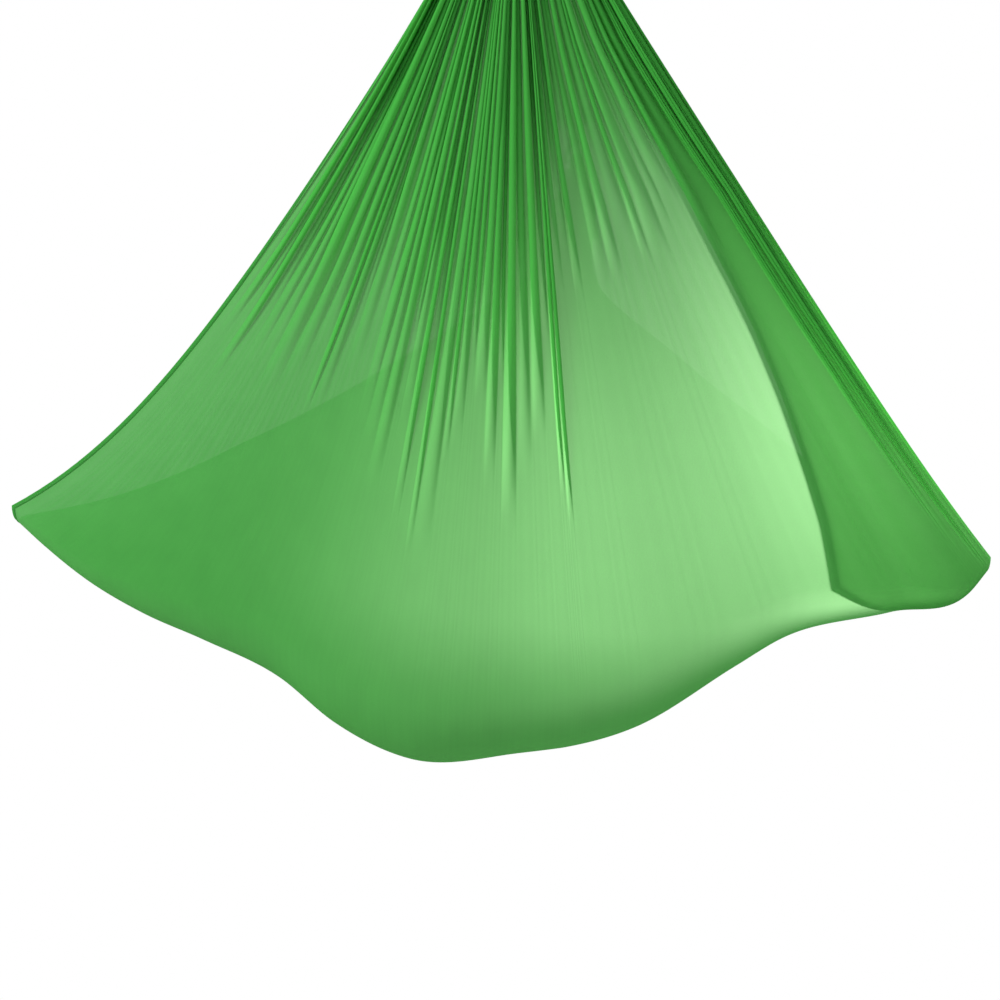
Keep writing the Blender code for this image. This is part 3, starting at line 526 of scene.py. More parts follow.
for side in SIDES:
    points, faces = [], []
    for path, radii in ((bar_path, bar_radii), (spigot_path, spigot_radii)):
        side_way = np.tile((0, 1.0, 0), (len(path), 1))
        shell_points, shell_faces = swept_bar(path, side_way, round_outline(radii))
        faces += [tuple(i + len(points) for i in f) for f in shell_faces]
        points += list(to_world(side, shell_points))
    for plate in (tang, tongue):
        flat = np.array([v.co for v in plate.vertices])
        placed = hinge + flat[:, :1] * gate_inward + flat[:, 1:2] * gate_along - flat[:, 2:] * (0, 1, 0)
        faces += [tuple(i + len(points) for i in f.vertices) for f in plate.polygons]
        points += list(to_world(side, placed))
    body = add_object(f"{side}_carabiner_body", points, faces)
    body.data.set_sharp_from_angle(angle=radians(38))
    give_material(body, polished)
    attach(body, "sling")
    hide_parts(f"{side}_carabiner_frame")
    finish_edges(f"{side}_hanger_eye", "sling", polished, 0.0010)
    for name in ("hinge_pin", "nose_pin"):
        finish_edges(f"{side}_{name}", f"{side}_gate", polished, 0.0002)
    spring = finish_edges(f"{side}_gate_spring", f"{side}_gate", polished, 0.00005)
    slide_way, far_end = to_world(side, [hinge, hinge + gate_along * SPRING_FAR_END])
    slide_way = far_end - slide_way
    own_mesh(spring)
    finish_edges(f"{side}_gate_plunger", f"{side}_gate_plunger", polished, 0.0003)


# Gates and lock sleeves
# Turned from steel bar and left with a satin finish. The gate is forked over the tang and slotted for the
# nose, and the sleeve that screws over both has flutes for a grip.

# A little darker than the bodies. The rings that the cutting tool left are drawn 1.2 mm apart, coarser than
# the real 0.2 mm, and with wear in patches 3 mm wide they make its shine soft
satin, tree, output = new_material("satin_turned_steel")
place = add_node(tree, "ShaderNodeTexCoord").outputs["Object"]
wear = add_node(tree, "ShaderNodeTexNoise", {"Vector": place, "Scale": 350.0, "Detail": 5.0})
tone = add_node(
    tree,
    "ShaderNodeMix",
    {"Factor": wear.outputs["Fac"], "A": hex_colour("#86898C"), "B": hex_colour("#B2B4B6")},
    data_type="RGBA",
)
tool_rings = {"Vector": place, "Scale": 260.0, "Distortion": 0.4}
rings = add_node(tree, "ShaderNodeTexWave", tool_rings, bands_direction="Z").outputs["Fac"]
bump = add_node(tree, "ShaderNodeBump", {"Height": rings, "Strength": 0.15, "Distance": 0.0001})
surface = add_node(
    tree,
    "ShaderNodeBsdfPrincipled",
    {"Base Color": tone.outputs[2], "Roughness": 0.38, "Metallic": 1.0, "Normal": bump.outputs[0]},
)
tree.links.new(surface.outputs[0], output.inputs["Surface"])
for side in SIDES:
    finish_edges(f"{side}_gate", f"{side}_gate", satin, 0.0004)
    finish_edges(f"{side}_lock_sleeve", f"{side}_lock_sleeve", satin, 0.0002)


# The sheet
# One length of nylon tricot, 2.3 m wide and 4 m long, gathered into a knot at each end. From there it fans
# out in deep pleats, runs smooth and taut, and turns up again in a round trough. Its right edge is folded
# back behind the front. It is drawn here from its rule, pleat by pleat, and not simulated.

GATHER_SPAN = 1.100
GATHER_HEIGHT = -0.2601739
LOWEST = -1.8461739
LEFT_REACH = 1.070
RIGHT_REACH = 0.828
TIP_RISE = 0.487
BED_RADIUS = 0.125
TIP_RADIUS = 0.032
LEFT_SCOOP = (0.265, 0.42)
RIGHT_SCOOP = (0.042, 0.08)
BUNCH_WIDTH = 0.044
OPEN_BUNCH_WIDTH = 0.056
BUNCH_OPEN_SHARE = 0.1
KEEL_TURN = radians(8.9)
KEEL_ALONG = np.array((cos(KEEL_TURN), sin(KEEL_TURN), 0))
KEEL_BACK = np.array((-sin(KEEL_TURN), cos(KEEL_TURN), 0))
UP = np.array((0.0, 0.0, 1.0))

# The lowest line from tip to tip: its place as a share of the reach, its height as a share of TIP_RISE
KEEL_PLACE_SHARES = np.array(
    (-1.0, -0.94, -0.86, -0.75, -0.64, -0.50, -0.40, -0.265, -0.075, 0.17, 0.40, 0.51, 0.77, 0.955, 1.0)
)
KEEL_RISE_SHARES = np.array(
    (0.96, 0.845, 0.71, 0.57, 0.465, 0.315, 0.14, 0.0, 0.022, 0.125, 0.36, 0.47, 0.577, 0.655, 0.74)
)


def trough(share):
    """(centre, radius) of the round trough that the sheet forms at each share of its spread."""
    places, rises = KEEL_PLACE_SHARES, KEEL_RISE_SHARES
    slopes = np.gradient(rises, places)
    inside = np.clip(share, -1, 1)
    i = np.clip(np.searchsorted(places, inside) - 1, 0, len(places) - 2)
    step = places[i + 1] - places[i]
    t = (inside - places[i]) / step
    rise = rises[i] * (1 + 2 * t) * (1 - t) ** 2 + rises[i + 1] * t * t * (3 - 2 * t)
    rise += step * (slopes[i] * t * (1 - t) ** 2 - slopes[i + 1] * t * t * (1 - t))
    radius = TIP_RADIUS + (BED_RADIUS - TIP_RADIUS) * (1 - inside * inside) ** 1.5
    along = share * np.where(share < 0, LEFT_REACH, RIGHT_REACH)
    centre = along[..., None] * KEEL_ALONG + (LOWEST + rise * TIP_RISE + radius)[..., None] * UP
    return centre, radius


def outward(way, angle):
    """Away from the trough's centre at an angle from straight down, towards the front (-1) or back (1)."""
    return (way * np.sin(angle))[..., None] * KEEL_BACK - np.cos(angle)[..., None] * UP


def leaving_angle(share, way):
    """Where the sheet leaves the trough and runs straight to its gather."""
    centre, radius = trough(share)
    to_gather = np.array((0, way * GATHER_SPAN / 2, GATHER_HEIGHT)) - centre
    across = way * dot(to_gather, KEEL_BACK)
    rise = to_gather[..., 2]
    return pi - np.arctan2(across, rise) - np.arccos(radius / np.hypot(across, rise))


def edge_pull(share, down, way):
    """How the edges are drawn in between gather and tip, more so towards the tip."""
    total = np.zeros(share.shape + (3,))
    for edge, (even, low_down) in ((-1, LEFT_SCOOP), (1, RIGHT_SCOOP)):
        centre, _ = trough(np.array(float(edge)))
        chord = centre - np.array((0, way * GATHER_SPAN / 2, GATHER_HEIGHT))
        chord /= np.linalg.norm(chord)
        inward = -KEEL_ALONG * edge
        inward = inward - chord * dot(inward, chord)
        inward /= np.linalg.norm(inward)
        bow = down * (1 - down) * (even + low_down * down**3) * np.abs(share) ** 3
        total += np.where(share * edge > 0, bow, 0)[..., None] * inward
    return total


def wing(share, down, way):
    """(point, outward direction) on a wing without its pleats."""
    centre, radius = trough(share)
    normal = outward(way, leaving_angle(share, way))
    half = (BUNCH_WIDTH + (OPEN_BUNCH_WIDTH - BUNCH_WIDTH) * np.minimum(down / BUNCH_OPEN_SHARE, 1)) / 2
    gather = np.stack(
        [half * share, np.full_like(share, way * GATHER_SPAN / 2), np.full_like(share, GATHER_HEIGHT)], -1
    )
    foot = centre + normal * radius[..., None]
    return gather + (foot - gather) * down[..., None] + edge_pull(share, down, way), normal


def cradle(share, turn):
    """(point, outward direction) on the trough, from its front (0) to its back (1)."""
    centre, radius = trough(share)
    start, end = -leaving_angle(share, -1), leaving_angle(share, 1)
    normal = outward(1, start + (end - start) * turn)
    return centre + normal * radius[..., None], normal


# A pleat in section is a smooth meander. Its tables have a row for each steepness, and say how far across and
# how far out the cloth is at each part of its length.
STEEPEST = 2.1
STEEP_STEPS = 32
PART_STEPS = 128


def summed(slopes):
    """The running sum along each row, from zero, with each step at the mean of its two ends."""
    return np.concatenate([np.zeros((len(slopes), 1)), np.cumsum((slopes[:, 1:] + slopes[:, :-1]) / 2, 1)], 1)


heading = np.sin(2 * pi * np.linspace(0, 1, PART_STEPS + 1))
heading = np.linspace(0, STEEPEST, STEEP_STEPS + 1)[:, None] * heading
ACROSS, OUT = summed(np.cos(heading)), summed(np.sin(heading))
DEPTH_TO_WIDTH = OUT.max(1) / ACROSS[:, -1]
ACROSS /= ACROSS[:, -1:]
OUT /= np.maximum(OUT.max(1, keepdims=True), 1e-9)


def meander(part, ratio):
    """(share across, share out) of a pleat of this depth to width, at each part of the cloth's length."""
    steep = np.interp(np.minimum(ratio, DEPTH_TO_WIDTH[-1]), DEPTH_TO_WIDTH, np.arange(STEEP_STEPS + 1.0))
    row = np.clip(steep.astype(int), 0, STEEP_STEPS - 1)
    mix = steep - row
    column = part * PART_STEPS
    left = np.clip(column.astype(int), 0, PART_STEPS - 1)
    blend = column - left

    def read(table):
        low = table[row, left] * (1 - blend) + table[row, left + 1] * blend
        high = table[row + 1, left] * (1 - blend) + table[row + 1, left + 1] * blend
        return low * (1 - mix) + high * mix

    return read(ACROSS), read(OUT)


# The pleats, zone by zone from the left edge: their number, their depth on the front and on the back, how far
# down the front they run, how far down the back, and the points across each
PLEAT_ZONES = (
    (2, 0.012, 0.030, (0.60, 0.70), (0.8, 1.0), 14),
    (9, 0.046, 0.034, (0.62, 0.76), (0.5, 0.8), 16),
    (26, 0.034, 0.042, (0.58, 0.84), (0.5, 0.8), 11),
    (14, 0.028, 0.038, (0.40, 0.56), (0.5, 0.8), 11),
    (8, 0.028, 0.030, (0.88, 1.06), (0.7, 1.0), 11),
)
# Where each zone ends as a share of the spread, at each share of the way down
ZONE_DOWN_SHARES = (0.0, 0.25, 0.45, 0.70, 1.00)
ZONE_END_SHARES = (
    (-0.93, -0.93, -0.945, -0.965, -0.975),
    (-0.61, -0.61, -0.61, -0.61, -0.61),
    (0.05, 0.05, 0.05, 0.05, 0.05),
    (0.75, 0.77, 0.885, 0.925, 0.95),
    (1.00, 1.00, 1.00, 1.00, 1.00),
)
chance = np.random.default_rng(7)
columns = []
for zone, (count, front_depth, back_depth, front_ends, back_ends, points) in enumerate(PLEAT_ZONES):
    widths = chance.uniform(0.45, 1.55, count)
    edges = np.concatenate([[0], np.cumsum(widths)]) / widths.sum()
    for i in range(count):
        size = chance.uniform(0.5, 1.25)
        ends = chance.uniform(*front_ends), chance.uniform(*back_ends)
        lean = chance.uniform(-0.3, 0.3)
        pleat = (zone, edges[i], edges[i + 1], front_depth * size, back_depth * size, *ends, lean)
        columns += [(*pleat, k / points) for k in range(points)]
columns.append((*pleat, 1.0))
zone, zone_left, zone_right, front_depth, back_depth, front_end, back_end, lean, part = np.array(columns).T
zone = zone.astype(int)

FRONT_ROWS = 60
CRADLE_ROWS = 19
BACK_ROWS = 51
INTO_KNOT_SHARE = 0.009
front_down = np.linspace(0, 1, FRONT_ROWS) ** 1.1 * (1 + INTO_KNOT_SHARE) - INTO_KNOT_SHARE
back_down = np.linspace(1, 0, BACK_ROWS) ** 1.1 * (1 + INTO_KNOT_SHARE) - INTO_KNOT_SHARE
turn = np.linspace(0, 1, CRADLE_ROWS + 2)[1:-1]
PLEAT_START_DEPTH = 0.024
RIDGE_SPREAD_SHARE = 0.45
OPEN_BY_SHARE = 0.18
FADE_FROM_SHARE = 0.12
SLACK_FROM_RATIO = 0.8
SMALL_STEP_SHARE = 0.001

# The back's two edges curve in towards its gather: how far out they are at each share of the way down
BACK_EDGE_DOWN_SHARES = (0.0, 0.12, 0.20, 0.27, 0.36, 0.47, 0.60, 0.73, 0.82, 0.90, 1.0)
BACK_RIGHT_SHARES = (1.0, 0.34, 0.22, 0.27, 0.44, 0.61, 0.76, 0.87, 0.93, 0.97, 1.0)
BACK_LEFT_SHARES = (1.0, 0.50, 0.40, 0.50, 0.66, 0.79, 0.87, 0.93, 0.95, 0.97, 1.0)


EDGE_STEPS = 200
EDGE_MARGIN = 20
ROUNDING_STEPS = 19


def smooth_curve(shares):
    """A back edge's shares at even steps of the way down, with their corners rounded."""
    margin = EDGE_MARGIN / EDGE_STEPS
    even_down = np.linspace(-margin, 1 + margin, EDGE_STEPS + 2 * EDGE_MARGIN + 1)
    even = np.interp(even_down, BACK_EDGE_DOWN_SHARES, shares)
    window = np.hanning(ROUNDING_STEPS)
    return np.convolve(even, window / window.sum(), "same")[EDGE_MARGIN:-EDGE_MARGIN]


back_right, back_left = smooth_curve(BACK_RIGHT_SHARES), smooth_curve(BACK_LEFT_SHARES)


def drawn_in(share, down, way):
    """A share of the spread, moved in where the edges of the back curve towards its gather."""
    if way < 0:
        return share
    even_down = np.linspace(0, 1, EDGE_STEPS + 1)
    right, left = (np.interp(down, even_down, curve) for curve in (back_right, back_left))
    return share * np.where(share > 0, right, left)


def place_in_zones(down):
    """(left, right) share of each column's pleat at a share of the way down."""
    ends = [np.interp(down, ZONE_DOWN_SHARES, row) for row in ZONE_END_SHARES]
    low, high = np.array([-1.0, *ends[:-1]])[zone], np.array(ends)[zone]
    return low + (high - low) * zone_left, low + (high - low) * zone_right


def pleated_row(down, way):
    """(points, slack) of one row across the pleats of a wing."""
    ends, depth = (front_end, front_depth) if way < 0 else (back_end, back_depth)
    left, right = place_in_zones(down)
    middle = (left + right) / 2
    here, _ = wing(drawn_in(middle, down, way), np.full_like(middle, down), way)
    beside, _ = wing(drawn_in(middle + SMALL_STEP_SHARE, down, way), np.full_like(middle, down), way)
    width = np.linalg.norm(beside - here, axis=-1) / SMALL_STEP_SHARE * (right - left)
    opening = np.clip(down / OPEN_BY_SHARE, 0, 1)
    fade = 1 - np.clip((down - FADE_FROM_SHARE) / (ends - FADE_FROM_SHARE), 0, 1) ** 1.3
    deep = (PLEAT_START_DEPTH + (depth - PLEAT_START_DEPTH) * opening) * fade
    ratio = deep / np.maximum(width, 1e-6)
    across, out = meander(part, ratio)
    across = across - RIDGE_SPREAD_SHARE * np.sin(2 * pi * across) / (2 * pi)
    share = left + (right - left) * (across + lean * out * np.minimum(ratio, 1))
    point, normal = wing(drawn_in(share, down, way), np.full_like(share, down), way)
    sunk = PLEAT_START_DEPTH / 2 * (1 - opening)
    return point + normal * (deep * out - sunk)[:, None], np.clip(ratio / SLACK_FROM_RATIO, 0, 1)


def cradle_row(way_across):
    """The points of one row across the trough, whose cloth is smooth."""
    left, right = place_in_zones(1.0)
    return cradle(left + (right - left) * part, np.full_like(part, way_across))[0]


front_pleats = [pleated_row(t, -1) for t in front_down]
back_pleats = [pleated_row(t, 1) for t in back_down]
rows = [points for points, _ in front_pleats]
rows += [cradle_row(a) for a in turn]
rows += [points for points, _ in back_pleats]

# The right edge turns round and lies behind the front, inside the trough and in front of the back
TURN_COLUMNS = 36
TURN_GAP = 0.007
TURN_DOWN_SHARES = (0.0, 0.28, 0.40, 0.47, 0.58, 0.64, 0.73, 0.84, 0.91, 1.0)
FRONT_TURN_SHARES = (0.66, 0.675, 0.695, 0.72, 0.735, 0.735, 0.72, 0.688, 0.665, 0.62)
BACK_TURN_SHARE = 0.93
turned = np.linspace(0, 1, TURN_COLUMNS + 1)[1:]


def turned_row(down, ends_at, surface_at):
    """The points of one row of the folded edge, a small gap inside the surface that it lies against."""
    share = 1 - (1 - ends_at) * turned**1.3
    gap = TURN_GAP * min(1, 4 * down + 0.1) * np.sin(np.minimum(turned * 4, 1) * pi / 2)
    point, normal = surface_at(share)
    return point - normal * gap[:, None]


turned_rows = []
for t in front_down:
    end = np.interp(t, TURN_DOWN_SHARES, FRONT_TURN_SHARES)
    turned_rows.append(turned_row(t, end, lambda s, t=t: wing(s, np.full_like(s, t), -1)))
for a in turn:
    end = FRONT_TURN_SHARES[-1] + (BACK_TURN_SHARE - FRONT_TURN_SHARES[-1]) * a
    turned_rows.append(turned_row(1, end, lambda s, a=a: cradle(s, np.full_like(s, a))))
for t in back_down:
    turned_rows.append(
        turned_row(t, BACK_TURN_SHARE, lambda s, t=t: wing(drawn_in(s, t, 1), np.full_like(s, t), 1))
    )

def grid_faces(row_total, column_total, closed_round=False):
    """The quads of a grid of points, which may close on itself across its columns."""
    index = np.arange(row_total * column_total).reshape(row_total, column_total)
    if closed_round:
        index = np.concatenate([index, index[:, :1]], 1)
    return np.stack([index[:-1, :-1], index[1:, :-1], index[1:, 1:], index[:-1, 1:]], -1).reshape(-1, 4)


def set_cloth_place(obj, across, along, slackness=0.0):
    """Gives each point of a mesh its place on the flat cloth, in metres, and how slack it is there."""
    loose = np.broadcast_to(np.ravel(slackness), len(obj.data.vertices)).astype(np.float32)
    obj.data.attributes.new("slack", "FLOAT", "POINT").data.foreach_set("value", loose)
    layer = obj.data.uv_layers.new(name="cloth")
    corners = np.empty(len(obj.data.loops), np.int32)
    obj.data.loops.foreach_get("vertex_index", corners)
    pair = np.stack([np.ravel(across)[corners], np.ravel(along)[corners]], -1)
    layer.data.foreach_set("uv", pair.reshape(-1).astype(np.float32))


grid = np.concatenate([np.array(rows), np.array(turned_rows)], 1)
row_count, column_count = grid.shape[:2]
sheet = add_object("sheet", grid.reshape(-1, 3), grid_faces(row_count, column_count))

# The cloth's own coordinates in metres, across and along, carry its knit
cloth_steps = np.linalg.norm(np.diff(grid, axis=1), axis=2)
across_cloth = np.concatenate([np.zeros((row_count, 1)), cloth_steps.cumsum(1)], 1)
across_cloth = across_cloth[FRONT_ROWS // 3][None, :].repeat(row_count, 0)
along_cloth = np.concatenate([np.zeros(1), np.linalg.norm(np.diff(grid, axis=0), axis=2).mean(1).cumsum()])
along_cloth = along_cloth[:, None].repeat(column_count, 1)
# How slack the cloth is at each point: 1 where it is bunched into deep pleats, 0 where it is stretched smooth
slack = np.zeros((row_count, column_count))
slack[:FRONT_ROWS, : len(part)] = [loose for _, loose in front_pleats]
slack[-BACK_ROWS:, : len(part)] = [loose for _, loose in back_pleats]
set_cloth_place(sheet, across_cloth, along_cloth, slackness=slack)

# Nylon tricot is a fine warp knit, thin enough for light to shine through, above all where it is stretched.
# Its ribs run along the sheet 0.6 mm apart, too fine to show from here. Waves 25 mm apart stand for them, far
# coarser, and give the cloth faint upright streaks.
WAVE_LENGTH_AT_SCALE_1 = 2 * pi / 20
RIB_SPACING = WAVE_LENGTH_AT_SCALE_1 / 12.5
tricot, tree, output = new_material("green_nylon_tricot")
cloth_place = add_node(tree, "ShaderNodeUVMap", uv_map="cloth").outputs[0]
ribs = add_node(
    tree,
    "ShaderNodeTexWave",
    {
        "Vector": cloth_place,
        "Scale": WAVE_LENGTH_AT_SCALE_1 / RIB_SPACING,
        "Distortion": 0.6,
        "Detail": 2.0,
        "Detail Scale": 3.0,
    },
    bands_direction="X",
)
mottle = add_node(tree, "ShaderNodeTexNoise", {"Vector": cloth_place, "Scale": 14.0, "Detail": 4.0})
grain = add_node(tree, "ShaderNodeTexNoise", {"Vector": cloth_place, "Scale": 420.0, "Detail": 2.0})
both = {0: mottle.outputs["Fac"], 1: grain.outputs["Fac"]}
uneven = add_node(tree, "ShaderNodeMath", both, operation="MULTIPLY").outputs[0]
shade_range = {"Value": uneven, "From Min": -0.15, "From Max": 0.65, "To Max": 1.0}
shade = add_node(tree, "ShaderNodeMapRange", shade_range)
tone = add_node(
    tree,
    "ShaderNodeMix",
    {"Factor": shade.outputs[0], "A": hex_colour("#3A8E3B"), "B": hex_colour("#4BA649")},
    data_type="RGBA",
)
# Where the cloth is slack, in the deep pleats and the bundles, its face and the light through it turn a more
# saturated green. This is partly the knit, which is paler where it is stretched and its stitches open. It is
# partly painted light: the deeper green that light takes on through the several layers of a deep pleat.
slackness = add_node(tree, "ShaderNodeAttribute", attribute_name="slack").outputs["Fac"]
stretch_tone_and_painted_layering = add_node(
    tree,
    "ShaderNodeMix",
    {"Factor": slackness, "A": tone.outputs[2], "B": hex_colour("#49B048")},
    data_type="RGBA",
)
shine_through_and_painted_layering = add_node(
    tree,
    "ShaderNodeMix",
    {"Factor": slackness, "A": hex_colour("#9CD595"), "B": hex_colour("#90DC88")},
    data_type="RGBA",
)
bump = add_node(tree, "ShaderNodeBump", {"Height": ribs.outputs["Fac"], "Strength": 0.18, "Distance": 0.0004})
face_side = add_node(
    tree,
    "ShaderNodeBsdfPrincipled",
    {
        "Base Color": stretch_tone_and_painted_layering.outputs[2],
        "Roughness": 0.6,
        "IOR": 1.45,
        "Specular IOR Level": 0.0,
        "Normal": bump.outputs[0],
    },
)
glow = add_node(
    tree, "ShaderNodeBsdfTranslucent", {"Color": shine_through_and_painted_layering.outputs[2], "Normal": bump.outputs[0]}
)
knit = add_node(tree, "ShaderNodeMixShader", {0: 0.40, 1: face_side.outputs[0], 2: glow.outputs[0]})
gaps = add_node(tree, "ShaderNodeBsdfTransparent", {"Color": hex_colour("#F4FFF2")})
rib_range = {"Value": ribs.outputs["Fac"], "To Min": 0.020, "To Max": 0.036}
between_ribs = add_node(tree, "ShaderNodeMapRange", rib_range).outputs[0]
open_range = {"Value": slackness, "To Min": between_ribs, "To Max": 0.002}
open_share = add_node(tree, "ShaderNodeMapRange", open_range).outputs[0]
cloth = add_node(tree, "ShaderNodeMixShader", {0: open_share, 1: knit.outputs[0], 2: gaps.outputs[0]})
tree.links.new(cloth.outputs[0], output.inputs["Surface"])
give_material(sheet, tricot)

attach(sheet, "sling")
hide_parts("front_wing", "back_wing", "cradle", "turned_back_edge")


# Hems
# The two long edges are folded over 10 mm and sewn down with a row of green thread, 2.6 mm to a stitch. The
# left hem runs along the drawn-in edge, and the right one is behind the front, where the folded edge ends.

HEM_WIDTH = 0.010
HEM_THICKNESS = 0.0009
HEM_LINES = 4
STITCH_LENGTH = 0.0026
STITCH_SPACING = 0.0040
THREAD = 0.0006

# Bands 0.35 mm apart make it lighter and darker by turns along a stitch: painted light and shade on its two
# twisted plies
thread_look, tree, output = new_material("green_polyester_thread")
place = add_node(tree, "ShaderNodeTexCoord").outputs["Object"]
painted_ply_shade = add_node(tree, "ShaderNodeTexWave", {"Vector": place, "Scale": 900.0, "Distortion": 1.5})
tone = add_node(
    tree,
    "ShaderNodeMix",
    {"Factor": painted_ply_shade.outputs["Fac"], "A": hex_colour("#1E7D26"), "B": hex_colour("#3BA143")},
    data_type="RGBA",
)
surface = add_node(tree, "ShaderNodeBsdfPrincipled", {"Base Color": tone.outputs[2], "Roughness": 0.5})
tree.links.new(surface.outputs[0], output.inputs["Surface"])


def along_rows(lines, distance):
    """The point at a distance along each row of points, measured over the cloth."""
    steps = np.linalg.norm(np.diff(lines, axis=1), axis=2)
    reach = np.concatenate([np.zeros((len(lines), 1)), steps.cumsum(1)], 1)
    return np.array([[np.interp(distance, r, line[:, k]) for k in range(3)] for r, line in zip(reach, lines)])


def surface_normals(strip):
    """The outward direction at each point of a grid of points."""
    down, across = np.gradient(strip, axis=0), np.gradient(strip, axis=1)
    normal = np.cross(across, down)
    return normal / np.maximum(np.linalg.norm(normal, axis=-1, keepdims=True), 1e-12)


stitch_sizes = {"Length": STITCH_LENGTH, "Spacing": STITCH_SPACING, "Thread": THREAD}
stitch_tree, given = new_tree("row_of_stitches", stitch_sizes, from_shape=True)
line = add_node(stitch_tree, "GeometryNodeMeshToCurve", {"Mesh": given.outputs["Geometry"]})
spaced = add_node(
    stitch_tree,
    "GeometryNodeResampleCurve",
    {"Curve": line.outputs[0], "Length": given.outputs["Spacing"]},
    mode="LENGTH",
)
halved = {0: given.outputs["Thread"], 1: 0.5}
half_thread = add_node(stitch_tree, "ShaderNodeMath", halved, operation="MULTIPLY")
one_stitch = add_node(
    stitch_tree,
    "GeometryNodeMeshCylinder",
    {"Vertices": 6, "Radius": half_thread.outputs[0], "Depth": given.outputs["Length"]},
)
seam_way = {"Vector": add_node(stitch_tree, "GeometryNodeInputTangent").outputs[0]}
turn_along = add_node(stitch_tree, "FunctionNodeAlignRotationToVector", seam_way, axis="Z")
placed = add_node(
    stitch_tree,
    "GeometryNodeInstanceOnPoints",
    {"Points": spaced.outputs[0], "Instance": one_stitch.outputs["Mesh"], "Rotation": turn_along.outputs[0]},
)
finish_tree(stitch_tree, placed.outputs[0], thread_look)


def add_stitches(name, points):
    """A sewn row along the points, made a plain mesh."""
    edges = [(i, i + 1) for i in range(len(points) - 1)]
    mesh = bpy.data.meshes.new(name)
    mesh.from_pydata([tuple(p) for p in points], edges, [])
    row = place_object(name, mesh)
    grow(row, stitch_tree)
    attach(row, "sling")
    return row


cloth_pieces = []
for name, lines in (("left_hem", grid), ("right_hem", grid[:, ::-1])):
    strip = np.stack([along_rows(lines, HEM_WIDTH * share) for share in np.linspace(0, 1, HEM_LINES)], 1)
    normal = surface_normals(strip)
    upper, lower = strip + normal * HEM_THICKNESS / 2, strip - normal * HEM_THICKNESS / 2
    ring = np.concatenate([upper, lower[:, ::-1]], 1)
    round_hem = 2 * HEM_LINES
    hem = add_object(name, ring.reshape(-1, 3), grid_faces(len(ring), round_hem, closed_round=True))
    hem_across = np.tile(np.linspace(0, HEM_WIDTH, round_hem), (len(ring), 1))
    set_cloth_place(hem, hem_across, along_cloth[:, :round_hem])
    give_material(hem, tricot)
    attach(hem, "sling")
    lift = normal[:, 2] * (HEM_THICKNESS / 2 + THREAD / 3)
    outer_stitches = add_stitches(f"{name}_stitches", strip[:, 2] + lift)
    back_stitches = add_stitches(f"{name}_back_stitches", strip[:, 2] - lift)
    cloth_pieces += [hem, outer_stitches, back_stitches]


# Loops, knots and tails
# Each end of the sheet is gathered into a bundle, drawn through its carabiner, wrapped three times round
# itself, and pulled tight. The end that is left hangs beside the knot.

LOOP_HALF_WIDTH = 0.0175
LOOP_HALF_DEPTH = 0.012
LOOP_GAP = 0.0005
KNOT_NECK = 0.022
KNOT_LENGTH = 0.060
KNOT_RADIUS = 0.034
KNOT_WRAPS = 3
KNOT_FLATTEN_SHARE = 0.94
TAIL_LENGTH = 0.150
TAIL_TOP_HALF = 0.019
TAIL_FOOT_HALF = 0.052
TAIL_PLEATS = 9
TAIL_DEPTH = 0.009
TAIL_ROWS = 26
POINTS_PER_TAIL_PLEAT = 14
POINTS_PER_FOLD = 12
POINTS_PER_WRAP = 40
CROSSING_POINTS = 25
CROSSING_HALF_WIDTH = 0.0095
CROSSING_HALF_DEPTH = 0.0055


def bundle(name, side, path, side_way, half_width, half_depth, folds, painted_ply_shade):
    """A gathered bundle of cloth along a path, with its folds running along it and its ends closed."""
    path = np.asarray(path)
    around = np.linspace(0, 2 * pi, POINTS_PER_FOLD * folds, endpoint=False)
    travelled = np.concatenate([[0], np.linalg.norm(np.diff(path, axis=0), axis=1).cumsum()])
    drift = (painted_ply_shade * travelled)[:, None]
    # Broad folds of uneven width, with fine ones on them
    uneven = 0.7 + 0.3 * np.sin(3 * around + 1 + drift)
    phase = folds * (around + 0.16 * np.sin(3 * around + 0.7) + 0.09 * np.sin(5 * around + 2)) + drift
    crease = (0.5 + 0.5 * np.cos(phase)) ** 3
    fine_phase = (2 * folds + 3) * around + 1.4 * np.sin(2 * around) + 1.6 * drift
    fine_crease = (0.5 + 0.5 * np.cos(fine_phase)) ** 2
    size = 1 - 0.22 * crease * uneven - 0.05 * fine_crease
    sideways, out = half_width[:, None] * size * np.cos(around), half_depth[:, None] * size * np.sin(around)
    outline = np.stack([sideways, out], -1)
    points, faces = swept_bar(path, side_way, outline)
    made = add_object(name, to_world(side, points), faces)
    round_cloth = np.tile(around * half_width.mean() * 2, (len(path), 1))
    long_cloth = np.tile(travelled[:, None], (1, len(around)))
    ends = (0, travelled[-1])
    set_cloth_place(made, [*round_cloth.ravel(), 0, 0], [*long_cloth.ravel(), *ends], slackness=1.0)
    give_material(made, tricot)
    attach(made, "sling")
    return made


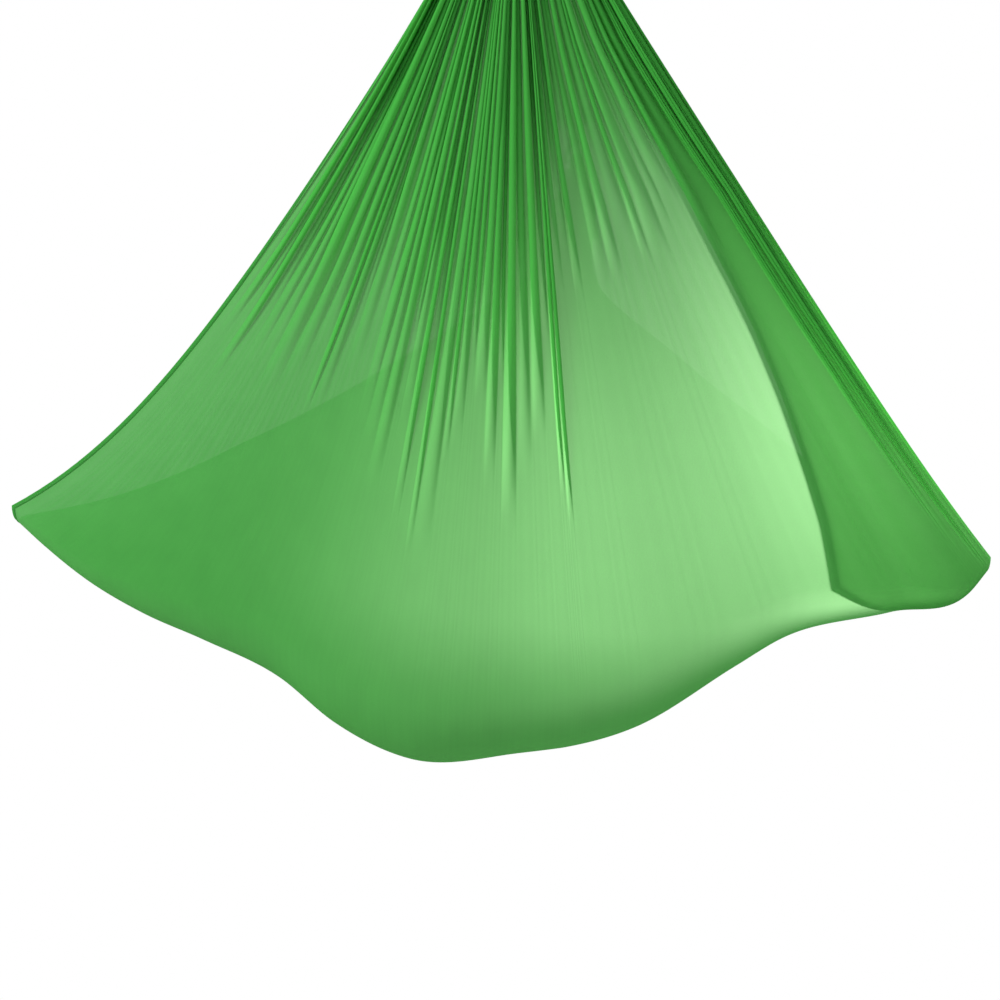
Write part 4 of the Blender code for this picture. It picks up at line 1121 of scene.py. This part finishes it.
for side in SIDES:
    bow_radius = BAR / 2 + LOOP_GAP + LOOP_HALF_DEPTH
    arch = np.linspace(0, pi, 25)
    over_bar = [(0, bow_radius * cos(a), -CARABINER_REACH + bow_radius * sin(a)) for a in arch]
    leg_foot = -CARABINER_REACH - KNOT_NECK - 0.9 * KNOT_LENGTH
    leg_shares = ((0, 0.7), (0.4, 0.75), (0.75, 0.96))
    front_leg = [(0, bow_radius * k, leg_foot + (-CARABINER_REACH - leg_foot) * t) for t, k in leg_shares]
    back_leg = [(0, -y, z) for _, y, z in reversed(front_leg)]
    path = [*front_leg, *over_bar, *back_leg]
    ways = np.tile((1.0, 0, 0), (len(path), 1))
    halves = np.full(len(path), LOOP_HALF_WIDTH), np.full(len(path), LOOP_HALF_DEPTH)
    loop = bundle(f"{side}_loop_bundle", side, path, ways, *halves, folds=14, painted_ply_shade=25.0)
    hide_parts(f"{side}_loop")

    turns = np.linspace(0, 2 * pi * KNOT_WRAPS, POINTS_PER_WRAP * KNOT_WRAPS + 1)
    wrap_half = KNOT_LENGTH / KNOT_WRAPS / 2
    centre_radius = KNOT_RADIUS - wrap_half * 1.05
    tucked = np.sin(np.clip(np.minimum(turns, turns[-1] - turns) / 0.7, 0, 1) * pi / 2)
    radius = centre_radius * (0.55 + 0.45 * tucked)
    top = -CARABINER_REACH - KNOT_NECK
    drop = top - wrap_half - (KNOT_LENGTH - 2 * wrap_half) * turns / turns[-1]
    from_right, from_front = radius * np.cos(turns + 0.8), KNOT_FLATTEN_SHARE * radius * np.sin(turns + 0.8)
    path = np.stack([from_right, from_front, drop], -1)
    ways = np.tile((0, 0, 1.0), (len(path), 1))
    halves = wrap_half * 1.12 * (0.3 + 0.7 * tucked), wrap_half * (0.3 + 0.7 * tucked)
    knot = bundle(f"{side}_knot_wraps", side, path, ways, *halves, folds=11, painted_ply_shade=18.0)
    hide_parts(f"{side}_knot")

    crossing = np.linspace(0, 1, CROSSING_POINTS)
    lean = -0.5 + 1.2 * crossing
    crossing_radius = (KNOT_RADIUS - 0.002) * (0.72 + 0.28 * np.sin(pi * crossing) ** 0.5)
    path = np.stack(
        [
            crossing_radius * np.sin(lean),
            -KNOT_FLATTEN_SHARE * crossing_radius * np.cos(lean),
            top - 0.003 - (KNOT_LENGTH - 0.006) * crossing,
        ],
        -1,
    )
    outwards = path * (1, 1, 0)
    outwards = outwards / np.linalg.norm(outwards, axis=1, keepdims=True)
    ways = np.cross(outwards, np.gradient(path, axis=0))
    halves = np.full(CROSSING_POINTS, CROSSING_HALF_WIDTH), np.full(CROSSING_POINTS, CROSSING_HALF_DEPTH)
    strand = bundle(f"{side}_knot_crossing", side, path, ways, *halves, folds=8, painted_ply_shade=20.0)

    part = np.linspace(0, 1, TAIL_PLEATS * POINTS_PER_TAIL_PLEAT + 1) * TAIL_PLEATS
    tail_rows = []
    for share in np.linspace(0, 1, TAIL_ROWS):
        half = TAIL_TOP_HALF + (TAIL_FOOT_HALF - TAIL_TOP_HALF) * share**0.7
        depth = TAIL_DEPTH * (1 - 0.35 * share)
        across, out = meander(part % 1, np.full_like(part, depth / (2 * half / TAIL_PLEATS)))
        x = half * (2 * (np.floor(part) + across) / TAIL_PLEATS - 1)
        uneven = 1 + 0.3 * np.sin(1.7 * part + 2 * share)
        wave = 0.003 * share * np.sin(x * 90 + 1)
        y = depth * uneven * (out - 0.5) + wave
        tail_rows.append(np.stack([x, y, np.full_like(x, -TAIL_LENGTH * share)], -1))
    tail_rows = np.array(tail_rows)
    tail_top = to_world(side, [(0, -0.0239, -CARABINER_REACH - KNOT_NECK - KNOT_LENGTH + 0.005)])[0]
    facing = np.array((1, 1, 1) if side == "front" else (-1, -1, 1))
    tail = add_object(
        f"{side}_tail_cloth", (tail_rows * facing + tail_top).reshape(-1, 3), grid_faces(*tail_rows.shape[:2])
    )
    fall = np.linspace(0, TAIL_LENGTH, TAIL_ROWS)[:, None].repeat(len(part), 1)
    set_cloth_place(tail, np.tile(part * 0.03, (TAIL_ROWS, 1)), fall, slackness=0.9)
    give_material(tail, tricot)
    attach(tail, "sling")
    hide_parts(f"{side}_tail")
    cloth_pieces += [loop, knot, strand, tail]
